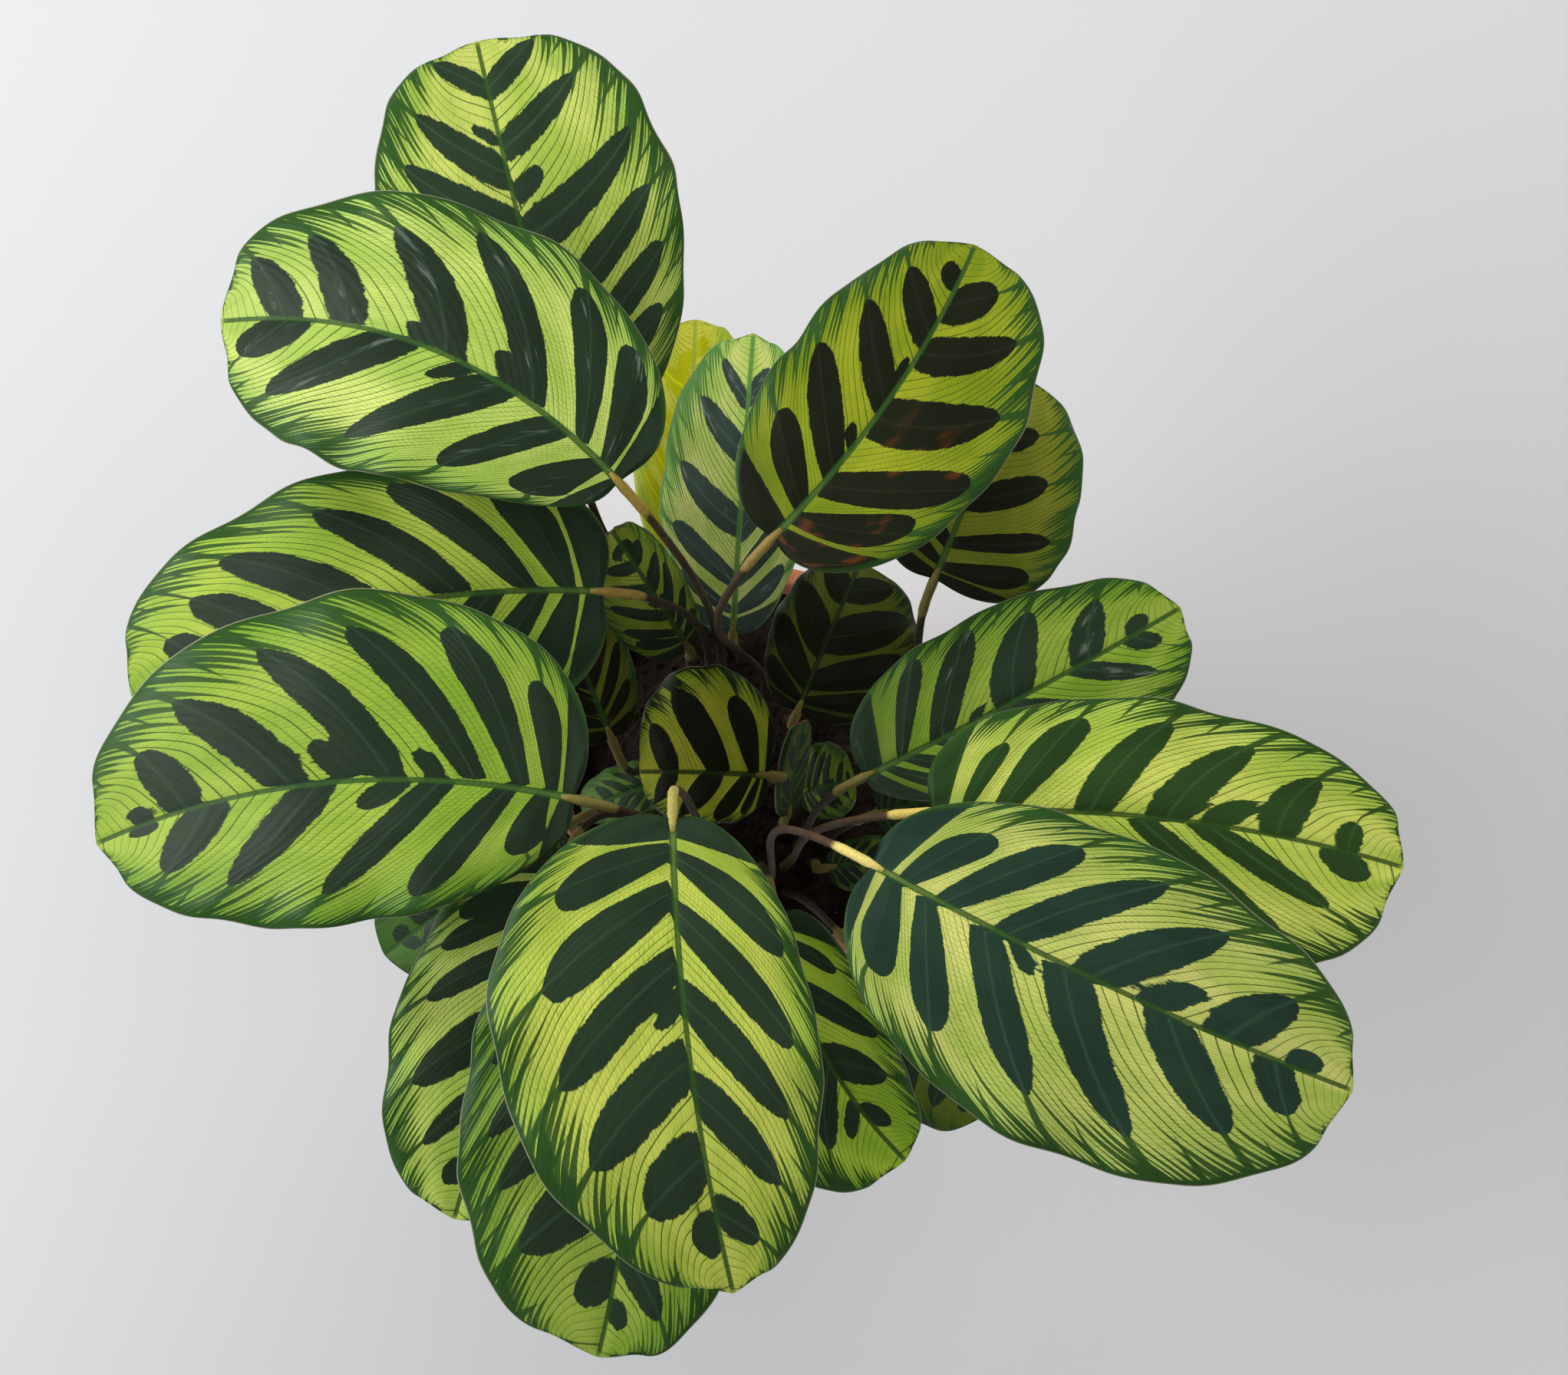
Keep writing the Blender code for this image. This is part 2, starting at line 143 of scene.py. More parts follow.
LEAVES = (
    Leaf("back", base=(-60, 99, 310), tip=(-98, 252, 278), root=(-15, 39), left=50, right=58,
         left_widest=0.55, right_widest=0.55, left_full=0.8, right_full=0.8, arch=14, phase=0.2, lean=0.5),
    Leaf("upper_left", base=(-42, 78, 355), tip=(-181, 139, 325), root=(-8, 28), left=48, right=52,
         left_widest=0.6, left_full=0.8, right_full=0.8, lobe=0.42, bow=-16, arch=16, phase=0.6),
    Leaf("left_back", base=(-49, 46, 320), tip=(-216, 13, 288), root=(-14, 19), left=52, right=50,
         left_widest=0.45, right_widest=0.45, lobe=0.45, bow=-10, arch=14),
    Leaf("left", base=(-57, -27, 345), tip=(-223, -40, 310), root=(-16, -40), left=49, right=65,
         right_widest=0.43, left_full=1.05, right_full=1.05, bow=-12, arch=15, phase=0.3),
    Leaf("front", base=(-24, -34, 350), tip=(-4, -192, 315), root=(-7, -48), left=44, right=66,
         right_widest=0.42, left_full=1.05, right_full=1.3, bow=-4, arch=16, phase=0.5, reach=0.14),
    Leaf("front_under", base=(-37, -45, 305), tip=(-52, -217, 270), root=(-19, -47), left=44, right=62,
         left_widest=0.55, right_widest=0.55, bow=7, arch=12, phase=0.8, reach=0.12),
    Leaf("front_left_low", base=(-65, -44, 265), tip=(-106, -171, 235), root=(-25, -32), left=40,
         right=42, arch=12, phase=0.1),
    Leaf("low_left", base=(-68, -29, 225), tip=(-136, -75, 205), root=(-33, -25), left=24, right=24,
         arch=8, wave=2, phase=0.4),
    Leaf("upper_right", base=(9, 60, 350), tip=(79, 166, 325), root=(6, 30), left=39, right=45,
         left_widest=0.44, left_full=0.95, right_full=0.95, bow=-7, arch=14),
    Leaf("upper_right_under", base=(66, 55, 285), tip=(98, 131, 270), root=(34, 8), left=34, right=40,
         right_widest=0.36, wave=2, phase=0.3, lean=0.6, swing=-60, rise=0.55),
    Leaf("centre_right", base=(18, 15, 216), tip=(42, 73, 202), root=(14, 19), left=22, right=34,
         arch=7, wave=2, phase=0.6, reach=0.08),
    Leaf("centre_back", base=(-6, 44, 222), tip=(2, 146, 272), root=(-4, 44), left=30, right=24,
         left_widest=0.48, right_widest=0.48, left_full=1.05, right_full=1.05, wave=2, phase=0.9,
         reach=0.1),
    Leaf("young_back", base=(-22, 65, 204), tip=(-20, 161, 226), root=(-9, 49), left=23, right=22,
         left_widest=0.55, right_widest=0.55, left_full=0.75, right_full=0.75, arch=8, wave=2,
         phase=0.2, reach=0.15),
    Leaf("inner_left", base=(-22, 36, 240), tip=(-47, 70, 300), root=(-25, 28), left=21, right=13,
         arch=5, wave=1, phase=0.4, reach=0.1),
    Leaf("centre", base=(7, -11, 240), tip=(-40, -9, 233), root=(-4, -13), left=20, right=40,
         left_full=0.8, right_full=0.8, lobe=0.5, arch=6, roll=-10, wave=2, phase=0.5, reach=0.08),
    Leaf("folded", base=(15, -22, 200), tip=(20, 9, 232), root=(10, -26), left=8, right=8,
         arch=2, roll=50, wave=0, reach=0.1),
    Leaf("small_right", base=(19, -13, 188), tip=(40, -9, 196), root=(15, -19), left=17, right=13,
         arch=3, wave=1, reach=0.08),
    Leaf("right_back", base=(41, -16, 300), tip=(153, 45, 285), root=(18, -30), left=34, right=33,
         left_widest=0.42, right_widest=0.6, left_full=1.0, right_full=1.0, bow=-2, arch=12, wave=2,
         phase=0.2, reach=0.15),
    Leaf("right", base=(63, -30, 325), tip=(229, -47, 290), root=(13, -38), left=41, right=50,
         left_widest=0.44, right_widest=0.62, left_full=0.9, right_full=0.9, bow=6, arch=14, phase=0.7),
    Leaf("front_right", base=(42, -49, 350), tip=(206, -124, 315), root=(5, -45), left=49, right=60,
         left_widest=0.47, right_widest=0.48, left_full=0.98, right_full=0.98, bow=-4, arch=16,
         phase=0.4),
    Leaf("front_right_low", base=(10, -62, 265), tip=(57, -150, 235), root=(0, -54), left=25, right=36,
         right_widest=0.65, bow=-8, wave=2, phase=0.1),
    Leaf("low_right", base=(41, -77, 225), tip=(87, -135, 200), root=(14, -48), left=28, right=26,
         arch=7, wave=2, phase=0.5),
    Leaf("low_centre", base=(30, -40, 158), tip=(60, -36, 166), root=(24, -37), left=10, right=12,
         arch=4, wave=1, phase=0.3, reach=0.1),
    Leaf("inner_right", base=(48, -23, 214), tip=(80, -15, 220), root=(28, -29), left=16, right=16,
         arch=4, wave=1, phase=0.6, reach=0.2),
    Leaf("inner_front", base=(-31, -6, 160), tip=(-66, -17, 152), root=(-28, -9), left=11, right=12,
         arch=4, wave=1, phase=0.8, reach=0.1),
    Leaf("left_shaded", base=(-50, 3, 240), tip=(-77, 70, 245), root=(-28, 11), left=25, right=19,
         arch=5, wave=1, lean=0.4),
)

# Dark patches of each half blade. First the end of the dark base at the midrib and at
# the margin, then for each patch: vein at the midrib, vein at its outer end, half width, how far out
MARKINGS = {
    "front": (
        (0.27, 0.22, (0.40, 0.395, 0.062, 0.80), (0.58, 0.565, 0.040, 0.77), (0.69, 0.675, 0.028, 0.77),
         (0.77, 0.765, 0.024, 0.75), (0.865, 0.86, 0.019, 0.62)),
        (0.29, 0.20, (0.365, 0.355, 0.068, 0.62), (0.53, 0.52, 0.048, 0.65), (0.65, 0.635, 0.028, 0.70),
         (0.69, 0.69, 0.012, 0.16), (0.745, 0.72, 0.026, 0.75), (0.82, 0.805, 0.026, 0.62),
         (0.885, 0.875, 0.022, 0.38))),
    "front_right": (
        (0.27, 0.25, (0.37, 0.365, 0.058, 0.55), (0.53, 0.475, 0.040, 0.72), (0.64, 0.585, 0.027, 0.78),
         (0.725, 0.69, 0.026, 0.75), (0.772, 0.768, 0.015, 0.32), (0.83, 0.81, 0.024, 0.68),
         (0.895, 0.89, 0.018, 0.33)),
        (0.155, 0.155, (0.305, 0.24, 0.068, 0.65), (0.475, 0.41, 0.045, 0.62), (0.61, 0.55, 0.030, 0.70),
         (0.655, 0.65, 0.012, 0.14), (0.70, 0.66, 0.025, 0.78), (0.715, 0.71, 0.010, 0.22),
         (0.785, 0.78, 0.024, 0.72), (0.87, 0.865, 0.020, 0.55))),
    "left": (
        (0.22, 0.15, (0.34, 0.22, 0.060, 0.60), (0.50, 0.41, 0.045, 0.80), (0.63, 0.585, 0.028, 0.75),
         (0.68, 0.675, 0.018, 0.20), (0.75, 0.73, 0.024, 0.76), (0.837, 0.83, 0.024, 0.70),
         (0.898, 0.895, 0.016, 0.20)),
        (0.21, 0.21, (0.29, 0.29, 0.050, 0.65), (0.45, 0.43, 0.043, 0.78), (0.575, 0.555, 0.030, 0.78),
         (0.632, 0.628, 0.014, 0.15), (0.685, 0.655, 0.024, 0.80), (0.722, 0.718, 0.014, 0.25),
         (0.77, 0.76, 0.022, 0.78), (0.855, 0.835, 0.019, 0.68), (0.895, 0.895, 0.012, 0.25))),
    "upper_left": (
        (0.17, 0.12, (0.32, 0.20, 0.075, 0.70), (0.55, 0.42, 0.048, 0.68), (0.665, 0.61, 0.034, 0.80),
         (0.708, 0.705, 0.010, 0.20), (0.775, 0.80, 0.030, 0.80), (0.875, 0.90, 0.032, 0.60)),
        (0.20, 0.19, (0.29, 0.275, 0.062, 0.80), (0.465, 0.40, 0.043, 0.80), (0.615, 0.56, 0.031, 0.82),
         (0.652, 0.648, 0.016, 0.18), (0.73, 0.68, 0.025, 0.75), (0.752, 0.75, 0.011, 0.15),
         (0.82, 0.785, 0.019, 0.78), (0.878, 0.872, 0.021, 0.78))),
    "left_back": (
        (0.25, 0.22, (0.34, 0.30, 0.060, 0.80), (0.49, 0.46, 0.045, 0.80), (0.60, 0.58, 0.033, 0.80),
         (0.70, 0.68, 0.028, 0.78), (0.79, 0.78, 0.024, 0.72), (0.87, 0.87, 0.020, 0.50)),
        (0.27, 0.27, (0.365, 0.35, 0.062, 0.78), (0.525, 0.51, 0.040, 0.80), (0.645, 0.62, 0.028, 0.75),
         (0.735, 0.74, 0.026, 0.76), (0.81, 0.81, 0.021, 0.62), (0.87, 0.87, 0.018, 0.45))),
    "front_under": (
        (0.25, 0.22, (0.37, 0.36, 0.060, 0.75), (0.54, 0.52, 0.045, 0.78), (0.67, 0.66, 0.032, 0.78),
         (0.765, 0.76, 0.026, 0.78), (0.845, 0.845, 0.020, 0.72), (0.90, 0.90, 0.014, 0.35)),
        (0.24, 0.20, (0.36, 0.34, 0.055, 0.78), (0.50, 0.47, 0.042, 0.80), (0.605, 0.59, 0.034, 0.80),
         (0.69, 0.675, 0.028, 0.80), (0.785, 0.775, 0.033, 0.75), (0.872, 0.872, 0.021, 0.38))),
    "back": (
        (0.25, 0.22, (0.37, 0.33, 0.060, 0.78), (0.53, 0.48, 0.045, 0.80), (0.64, 0.59, 0.034, 0.80),
         (0.745, 0.695, 0.025, 0.80), (0.795, 0.79, 0.020, 0.76), (0.828, 0.828, 0.008, 0.25),
         (0.885, 0.905, 0.018, 0.80)),
        (0.25, 0.20, (0.38, 0.34, 0.050, 0.75), (0.52, 0.455, 0.042, 0.78), (0.64, 0.555, 0.030, 0.80),
         (0.735, 0.65, 0.026, 0.85), (0.775, 0.765, 0.012, 0.25), (0.82, 0.80, 0.018, 0.75),
         (0.885, 0.905, 0.020, 0.80))),
    "upper_right": (
        (0.33, 0.28, (0.47, 0.45, 0.060, 0.65), (0.61, 0.595, 0.040, 0.78), (0.66, 0.66, 0.012, 0.14),
         (0.73, 0.72, 0.026, 0.75), (0.765, 0.765, 0.012, 0.12), (0.815, 0.82, 0.024, 0.72),
         (0.888, 0.888, 0.018, 0.40)),
        (0.28, 0.27, (0.385, 0.37, 0.068, 0.75), (0.57, 0.48, 0.048, 0.85), (0.71, 0.62, 0.035, 0.80),
         (0.795, 0.75, 0.024, 0.80), (0.855, 0.855, 0.028, 0.60))),
    "right": (
        (0.25, 0.25, (0.365, 0.36, 0.035, 0.55), (0.52, 0.455, 0.042, 0.75), (0.665, 0.565, 0.027, 0.80),
         (0.735, 0.68, 0.023, 0.78), (0.775, 0.77, 0.015, 0.30), (0.825, 0.775, 0.019, 0.74),
         (0.888, 0.865, 0.014, 0.48)),
        (0.25, 0.22, (0.34, 0.33, 0.055, 0.75), (0.47, 0.46, 0.045, 0.78), (0.585, 0.57, 0.035, 0.80),
         (0.71, 0.71, 0.020, 0.80), (0.765, 0.815, 0.022, 0.65), (0.88, 0.885, 0.024, 0.40))),
    "right_back": (
        (0.33, 0.28, (0.47, 0.42, 0.036, 0.85), (0.605, 0.54, 0.035, 0.85), (0.668, 0.668, 0.010, 0.12),
         (0.725, 0.66, 0.031, 0.80), (0.815, 0.785, 0.022, 0.75), (0.88, 0.875, 0.017, 0.35)),
        (0.25, 0.22, (0.35, 0.35, 0.050, 0.75), (0.49, 0.48, 0.045, 0.78), (0.61, 0.60, 0.035, 0.78),
         (0.71, 0.70, 0.028, 0.75), (0.80, 0.80, 0.017, 0.70), (0.87, 0.87, 0.018, 0.45))),
    "centre_back": (
        (0.28, 0.24, (0.36, 0.35, 0.045, 0.70), (0.545, 0.46, 0.040, 0.78), (0.68, 0.605, 0.030, 0.78),
         (0.78, 0.755, 0.021, 0.78), (0.84, 0.86, 0.015, 0.72)),
        (0.28, 0.25, (0.37, 0.36, 0.060, 0.75), (0.55, 0.53, 0.045, 0.78), (0.67, 0.66, 0.035, 0.78),
         (0.77, 0.77, 0.026, 0.75), (0.85, 0.85, 0.020, 0.60))),
    "front_left_low": (
        (0.25, 0.22, (0.36, 0.35, 0.060, 0.75), (0.49, 0.48, 0.045, 0.78), (0.60, 0.59, 0.035, 0.78),
         (0.70, 0.70, 0.028, 0.78), (0.79, 0.83, 0.030, 0.65), (0.88, 0.89, 0.018, 0.40)),
        (0.25, 0.22, (0.36, 0.34, 0.055, 0.75), (0.48, 0.43, 0.040, 0.75), (0.61, 0.55, 0.032, 0.72),
         (0.72, 0.695, 0.034, 0.75), (0.79, 0.81, 0.018, 0.65), (0.88, 0.88, 0.018, 0.40))),
    "front_right_low": (
        (0.30, 0.30, (0.43, 0.42, 0.050, 0.60), (0.63, 0.595, 0.042, 0.80), (0.765, 0.73, 0.034, 0.70),
         (0.85, 0.85, 0.021, 0.42)),
        (0.30, 0.28, (0.40, 0.38, 0.055, 0.70), (0.55, 0.54, 0.045, 0.75), (0.66, 0.65, 0.035, 0.75),
         (0.765, 0.775, 0.028, 0.65), (0.83, 0.83, 0.014, 0.40))),
    "upper_right_under": (
        (0.26, 0.24, (0.38, 0.37, 0.060, 0.75), (0.54, 0.53, 0.045, 0.78), (0.67, 0.66, 0.034, 0.78),
         (0.78, 0.78, 0.026, 0.70), (0.87, 0.87, 0.020, 0.45)),
        (0.26, 0.24, (0.35, 0.36, 0.070, 0.80), (0.55, 0.52, 0.034, 0.78), (0.685, 0.685, 0.033, 0.65),
         (0.80, 0.80, 0.022, 0.50), (0.87, 0.87, 0.018, 0.30))),
    "centre_right": (
        (0.24, 0.20, (0.36, 0.31, 0.076, 0.92), (0.55, 0.50, 0.078, 0.92), (0.715, 0.68, 0.060, 0.90),
         (0.85, 0.84, 0.042, 0.84)),
        (0.24, 0.20, (0.38, 0.33, 0.078, 0.92), (0.57, 0.53, 0.078, 0.92), (0.735, 0.71, 0.058, 0.90),
         (0.86, 0.855, 0.040, 0.80))),
    "centre": (
        (0.22, 0.20, (0.34, 0.30, 0.050, 0.80), (0.52, 0.45, 0.072, 0.85), (0.71, 0.66, 0.050, 0.85),
         (0.84, 0.82, 0.030, 0.80)),
        (0.20, 0.18, (0.44, 0.42, 0.100, 0.68), (0.685, 0.69, 0.055, 0.85), (0.84, 0.84, 0.035, 0.70))),
}

# Light bands: colour between the dark patches
LIME = (0.30, 0.43, 0.055)
YELLOW_LIME = (0.36, 0.41, 0.065)
OLIVE = (0.20, 0.26, 0.02)
FRESH = (0.28, 0.46, 0.07)
# Per-leaf band colours hold painted light and painted shade: leaves lying in shade, such as centre_right, low_left
# and the inner ones, get darker bands, and lit or backlit ones, such as centre_back, young_back and right, brighter
# ones
BAND_COLOURS_WITH_PAINTED_LIGHT = {
    "back": (0.42, 0.51, 0.095), "upper_left": (0.43, 0.55, 0.11), "left_back": (0.36, 0.50, 0.053),
    "left": (0.27, 0.40, 0.042), "front": (0.46, 0.55, 0.075), "front_under": (0.29, 0.42, 0.05),
    "front_left_low": (0.49, 0.65, 0.11), "low_left": (0.06, 0.14, 0.02),
    "upper_right": (0.25, 0.30, 0.014), "upper_right_under": (0.18, 0.20, 0.016),
    "centre_right": (0.08, 0.09, 0.010), "centre_back": (0.76, 1.0, 0.24), "young_back": (0.86, 0.96, 0.09),
    "inner_left": (0.28, 0.36, 0.035), "centre": (0.47, 0.54, 0.035), "folded": (0.08, 0.10, 0.02),
    "small_right": (0.17, 0.27, 0.03), "right_back": (0.25, 0.375, 0.04), "right": (0.61, 0.72, 0.12),
    "front_right": (0.51, 0.57, 0.13), "front_right_low": (0.39, 0.60, 0.045),
    "low_right": (0.10, 0.14, 0.015), "low_centre": (0.13, 0.20, 0.03), "inner_right": (0.07, 0.11, 0.015),
    "inner_front": (0.09, 0.17, 0.03), "left_shaded": (0.15, 0.18, 0.015),
}
DARK_PATCH = (0.0150, 0.0290, 0.0140)
DEEP_PATCH = (0.0120, 0.0230, 0.0110)
SHADED_PATCH = (0.0080, 0.0098, 0.0040)
MARGIN_GREEN = (0.024, 0.070, 0.013)
VEIN_GREEN = (0.035, 0.080, 0.008)
RIB_GREEN = (0.14, 0.22, 0.05)
RIM_PALE = (0.30, 0.28, 0.18)
BLOTCH_BROWN = (0.12, 0.034, 0.009)
# Pale grey of silvery scuffs and of painted sheen on the patches
SCUFF_AND_SHEEN_GREY = (0.34, 0.40, 0.37)
UNDER_DARK = (0.055, 0.010, 0.022)
UNDER_LIGHT = (0.16, 0.05, 0.055)


def unit(vectors):
    return vectors / np.linalg.norm(vectors, axis=-1, keepdims=True)


def midrib(leaf, along):
    """Point and direction on the midrib, which runs on straight behind the base."""
    base = np.array(leaf.base, float)
    chord = np.array(leaf.tip, float) - base
    side = unit(np.cross(UP, chord))
    bend = 4 * (leaf.bow * side + leaf.arch * UP)
    a = np.asarray(along, float)[..., None]
    curved = np.maximum(a, 0.0)
    point = base + a * (chord + bend) - curved ** 2 * bend
    direction = chord + bend - 2 * curved * bend
    return point, unit(direction)


def leaf_frame(leaf, along):
    """Point, direction, left side and upper normal on the midrib, rolled about it."""
    point, forward = midrib(leaf, along)
    side = unit(np.cross(UP, forward))
    normal = np.cross(forward, side)
    roll = math.radians(leaf.roll)
    left = side * math.cos(roll) + normal * math.sin(roll)
    return point, forward, left, normal * math.cos(roll) - side * math.sin(roll)


def flat_blade(leaf, s, v):
    """Place along the midrib (0 to 1) and across it (mm) of vein s at v of its length (-1 to 1)."""
    on_left = v >= 0
    half = np.where(on_left, leaf.left, leaf.right)
    widest = np.where(on_left, leaf.left_widest, leaf.right_widest)
    full = np.where(on_left, leaf.left_full, leaf.right_full)
    length = math.dist(leaf.base, leaf.tip)
    angle = math.pi * s
    even = (1 - np.cos(angle)) / 2
    edge_along = even ** (np.log(widest) / math.log(0.5))
    edge_along = edge_along - leaf.lobe * half / length * angle * np.exp(-angle / 0.3)
    neck = NECK_HALF_WIDTH * np.clip((1 - s) / TIP_SHARE, 0, 1) ** 0.8
    edge_across = neck + (half - NECK_HALF_WIDTH) * np.clip(np.sin(angle), 0, 1) ** full
    vein_root = 0.22 * even + 0.78 * even ** 5.5
    q = np.abs(v)
    bend_along = vein_root + (edge_along - vein_root) * 0.42
    along = (1 - q) ** 2 * vein_root + 2 * q * (1 - q) * bend_along + q ** 2 * edge_along
    along = along - TIP_NOTCH * q ** 2 * np.exp(-((1 - s) / 0.045 - 1.2) ** 2)
    across = 1.24 * q * (1 - q) * edge_across + q ** 2 * edge_across
    turn = leaf.phase + np.where(on_left, 0.0, 0.43)
    scallop = np.sin(2 * math.pi * (4.3 * s + turn)) + 0.7 * np.sin(2 * math.pi * (8.1 * s + 2.3 * turn))
    across = across * (1 - SCALLOP * (0.5 + 0.3 * scallop) * q ** 3 * np.clip((s - 0.15) / 0.3, 0, 1))
    return along, np.where(on_left, across, -across), half


def patch_field(marking, s, q):
    """How far inside a dark patch each point is, as a share of the blade: under 0 is outside."""
    base_mid, base_edge, *patches = marking
    field = base_mid + (base_edge - base_mid) * q - s
    for root, outer, size, reach in patches:
        half = size * PATCH_WIDER
        t = q / reach
        centre = root + (outer - root) * np.clip(t, 0, 1.2)
        inner = PATCH_AT_RIB * (PATCH_MIDDLE - t) / PATCH_MIDDLE
        away = np.where(t < PATCH_MIDDLE, inner, (t - PATCH_MIDDLE) / (1 - PATCH_MIDDLE))
        width = np.clip(1 - away ** PATCH_FULL, 0, 1) ** np.where(t < PATCH_MIDDLE, 0.5, PATCH_POINT)
        beyond = 2 * half * np.clip(away - 1, 0, None)
        field = np.maximum(field, half * width - np.abs(s - centre) - beyond)
    return np.clip(field, -0.04, 0.04)


def pleat_count(marking, s, q):
    """Counts the main veins, one through each large patch: whole numbers lie on them."""
    base_mid, base_edge, *patches = marking
    count = 0 * s
    last = 0.45 * (base_mid + (base_edge - base_mid) * q)
    count = count + np.clip(s / last, 0, 1)
    for root, outer, _, reach in patches:
        if reach >= MAIN_REACH:
            here = np.maximum(root + (outer - root) * np.clip(q / reach, 0, 1.2), last + 0.03)
            count = count + np.clip((s - last) / (here - last), 0, 1)
            last = here
    return count + 1.3 * np.clip((s - last) / (1.001 - last), 0, 1)


def usual_marking(rng):
    """Patches for a half blade that the photograph doesn't show."""
    entries = []
    for middle, half, reach in ((0.37, 0.055, 0.76), (0.52, 0.043, 0.78), (0.635, 0.033, 0.78),
                                (0.735, 0.027, 0.75), (0.82, 0.022, 0.66), (0.885, 0.018, 0.42)):
        shift = rng.uniform(-0.012, 0.012)
        slant = rng.uniform(0.0, 0.05)
        entries.append((middle + shift, middle + shift - slant, half * rng.uniform(0.88, 1.1), reach))
        if rng.random() < 0.6 and middle < 0.8:
            entries.append((middle + shift + 1.5 * half, middle + shift + 1.5 * half, 0.011,
                            rng.uniform(0.12, 0.25)))
    return (0.27, 0.22, *entries)


def leaf_markings(leaf):
    rng = np.random.default_rng(sum(map(ord, leaf.name)))
    return MARKINGS.get(leaf.name, (usual_marking(rng), usual_marking(rng)))


def by_half(function, markings, s, v):
    """A pattern of the left half blade where v is positive, and of the right half elsewhere."""
    return np.where(v >= 0, function(markings[0], s, np.abs(v)), function(markings[1], s, np.abs(v)))


def blade_points(leaf, s, v):
    """Points of the upper and the lower face, and the flat place, of the finer blade."""
    along, across, half = flat_blade(leaf, s, v)
    point, _, left, normal = leaf_frame(leaf, along)
    out = np.abs(across) / half
    turn = WAVES * along + leaf.phase + np.where(v >= 0, 0.0, 0.37)
    fade = np.sqrt(np.sin(math.pi * np.clip(along, 0, 1)))
    lift = half * (CUP * out - CURL * out ** 2) + leaf.wave * np.sin(2 * math.pi * turn) * out ** 2.5 * fade
    body = np.clip(out / 0.12, 0, 1) * np.clip((1 - np.abs(v)) / 0.1, 0, 1) * np.clip((1 - s) / 0.1, 0, 1)
    count = by_half(pleat_count, leaf_markings(leaf), s, v)
    crest = 1 - 2 * np.abs(count - np.round(count))
    quilt = PLEAT_HEIGHT * min(1.0, half.max() / 45) * (crest - 0.5) * body
    rim = RIM_ROLL * np.clip((np.abs(v) - RIM_START) / (1 - RIM_START), 0, 1) ** 2 * np.clip(s / 0.1, 0, 1)
    groove = 0.35 * np.exp(-(across / 1.0) ** 2) * np.clip((1 - s) / 0.3, 0, 1)
    rib = (0.25 + 1.1 * (1 - s) ** 1.1) * np.exp(-(np.abs(across) / (1.0 + 0.9 * (1 - s))) ** 2.5)
    upper = lift - SHEET_DROP + quilt - rim - groove
    lower = lift - SHEET_DROP + quilt - rim - SHEET_THICKNESS - rib
    middle = point + left * across[..., None]
    return middle + normal * upper[..., None], middle + normal * lower[..., None], along, across


def make_object(name, mesh):
    obj = bpy.data.objects.new(name, mesh)
    bpy.context.scene.collection.objects.link(obj)
    return obj


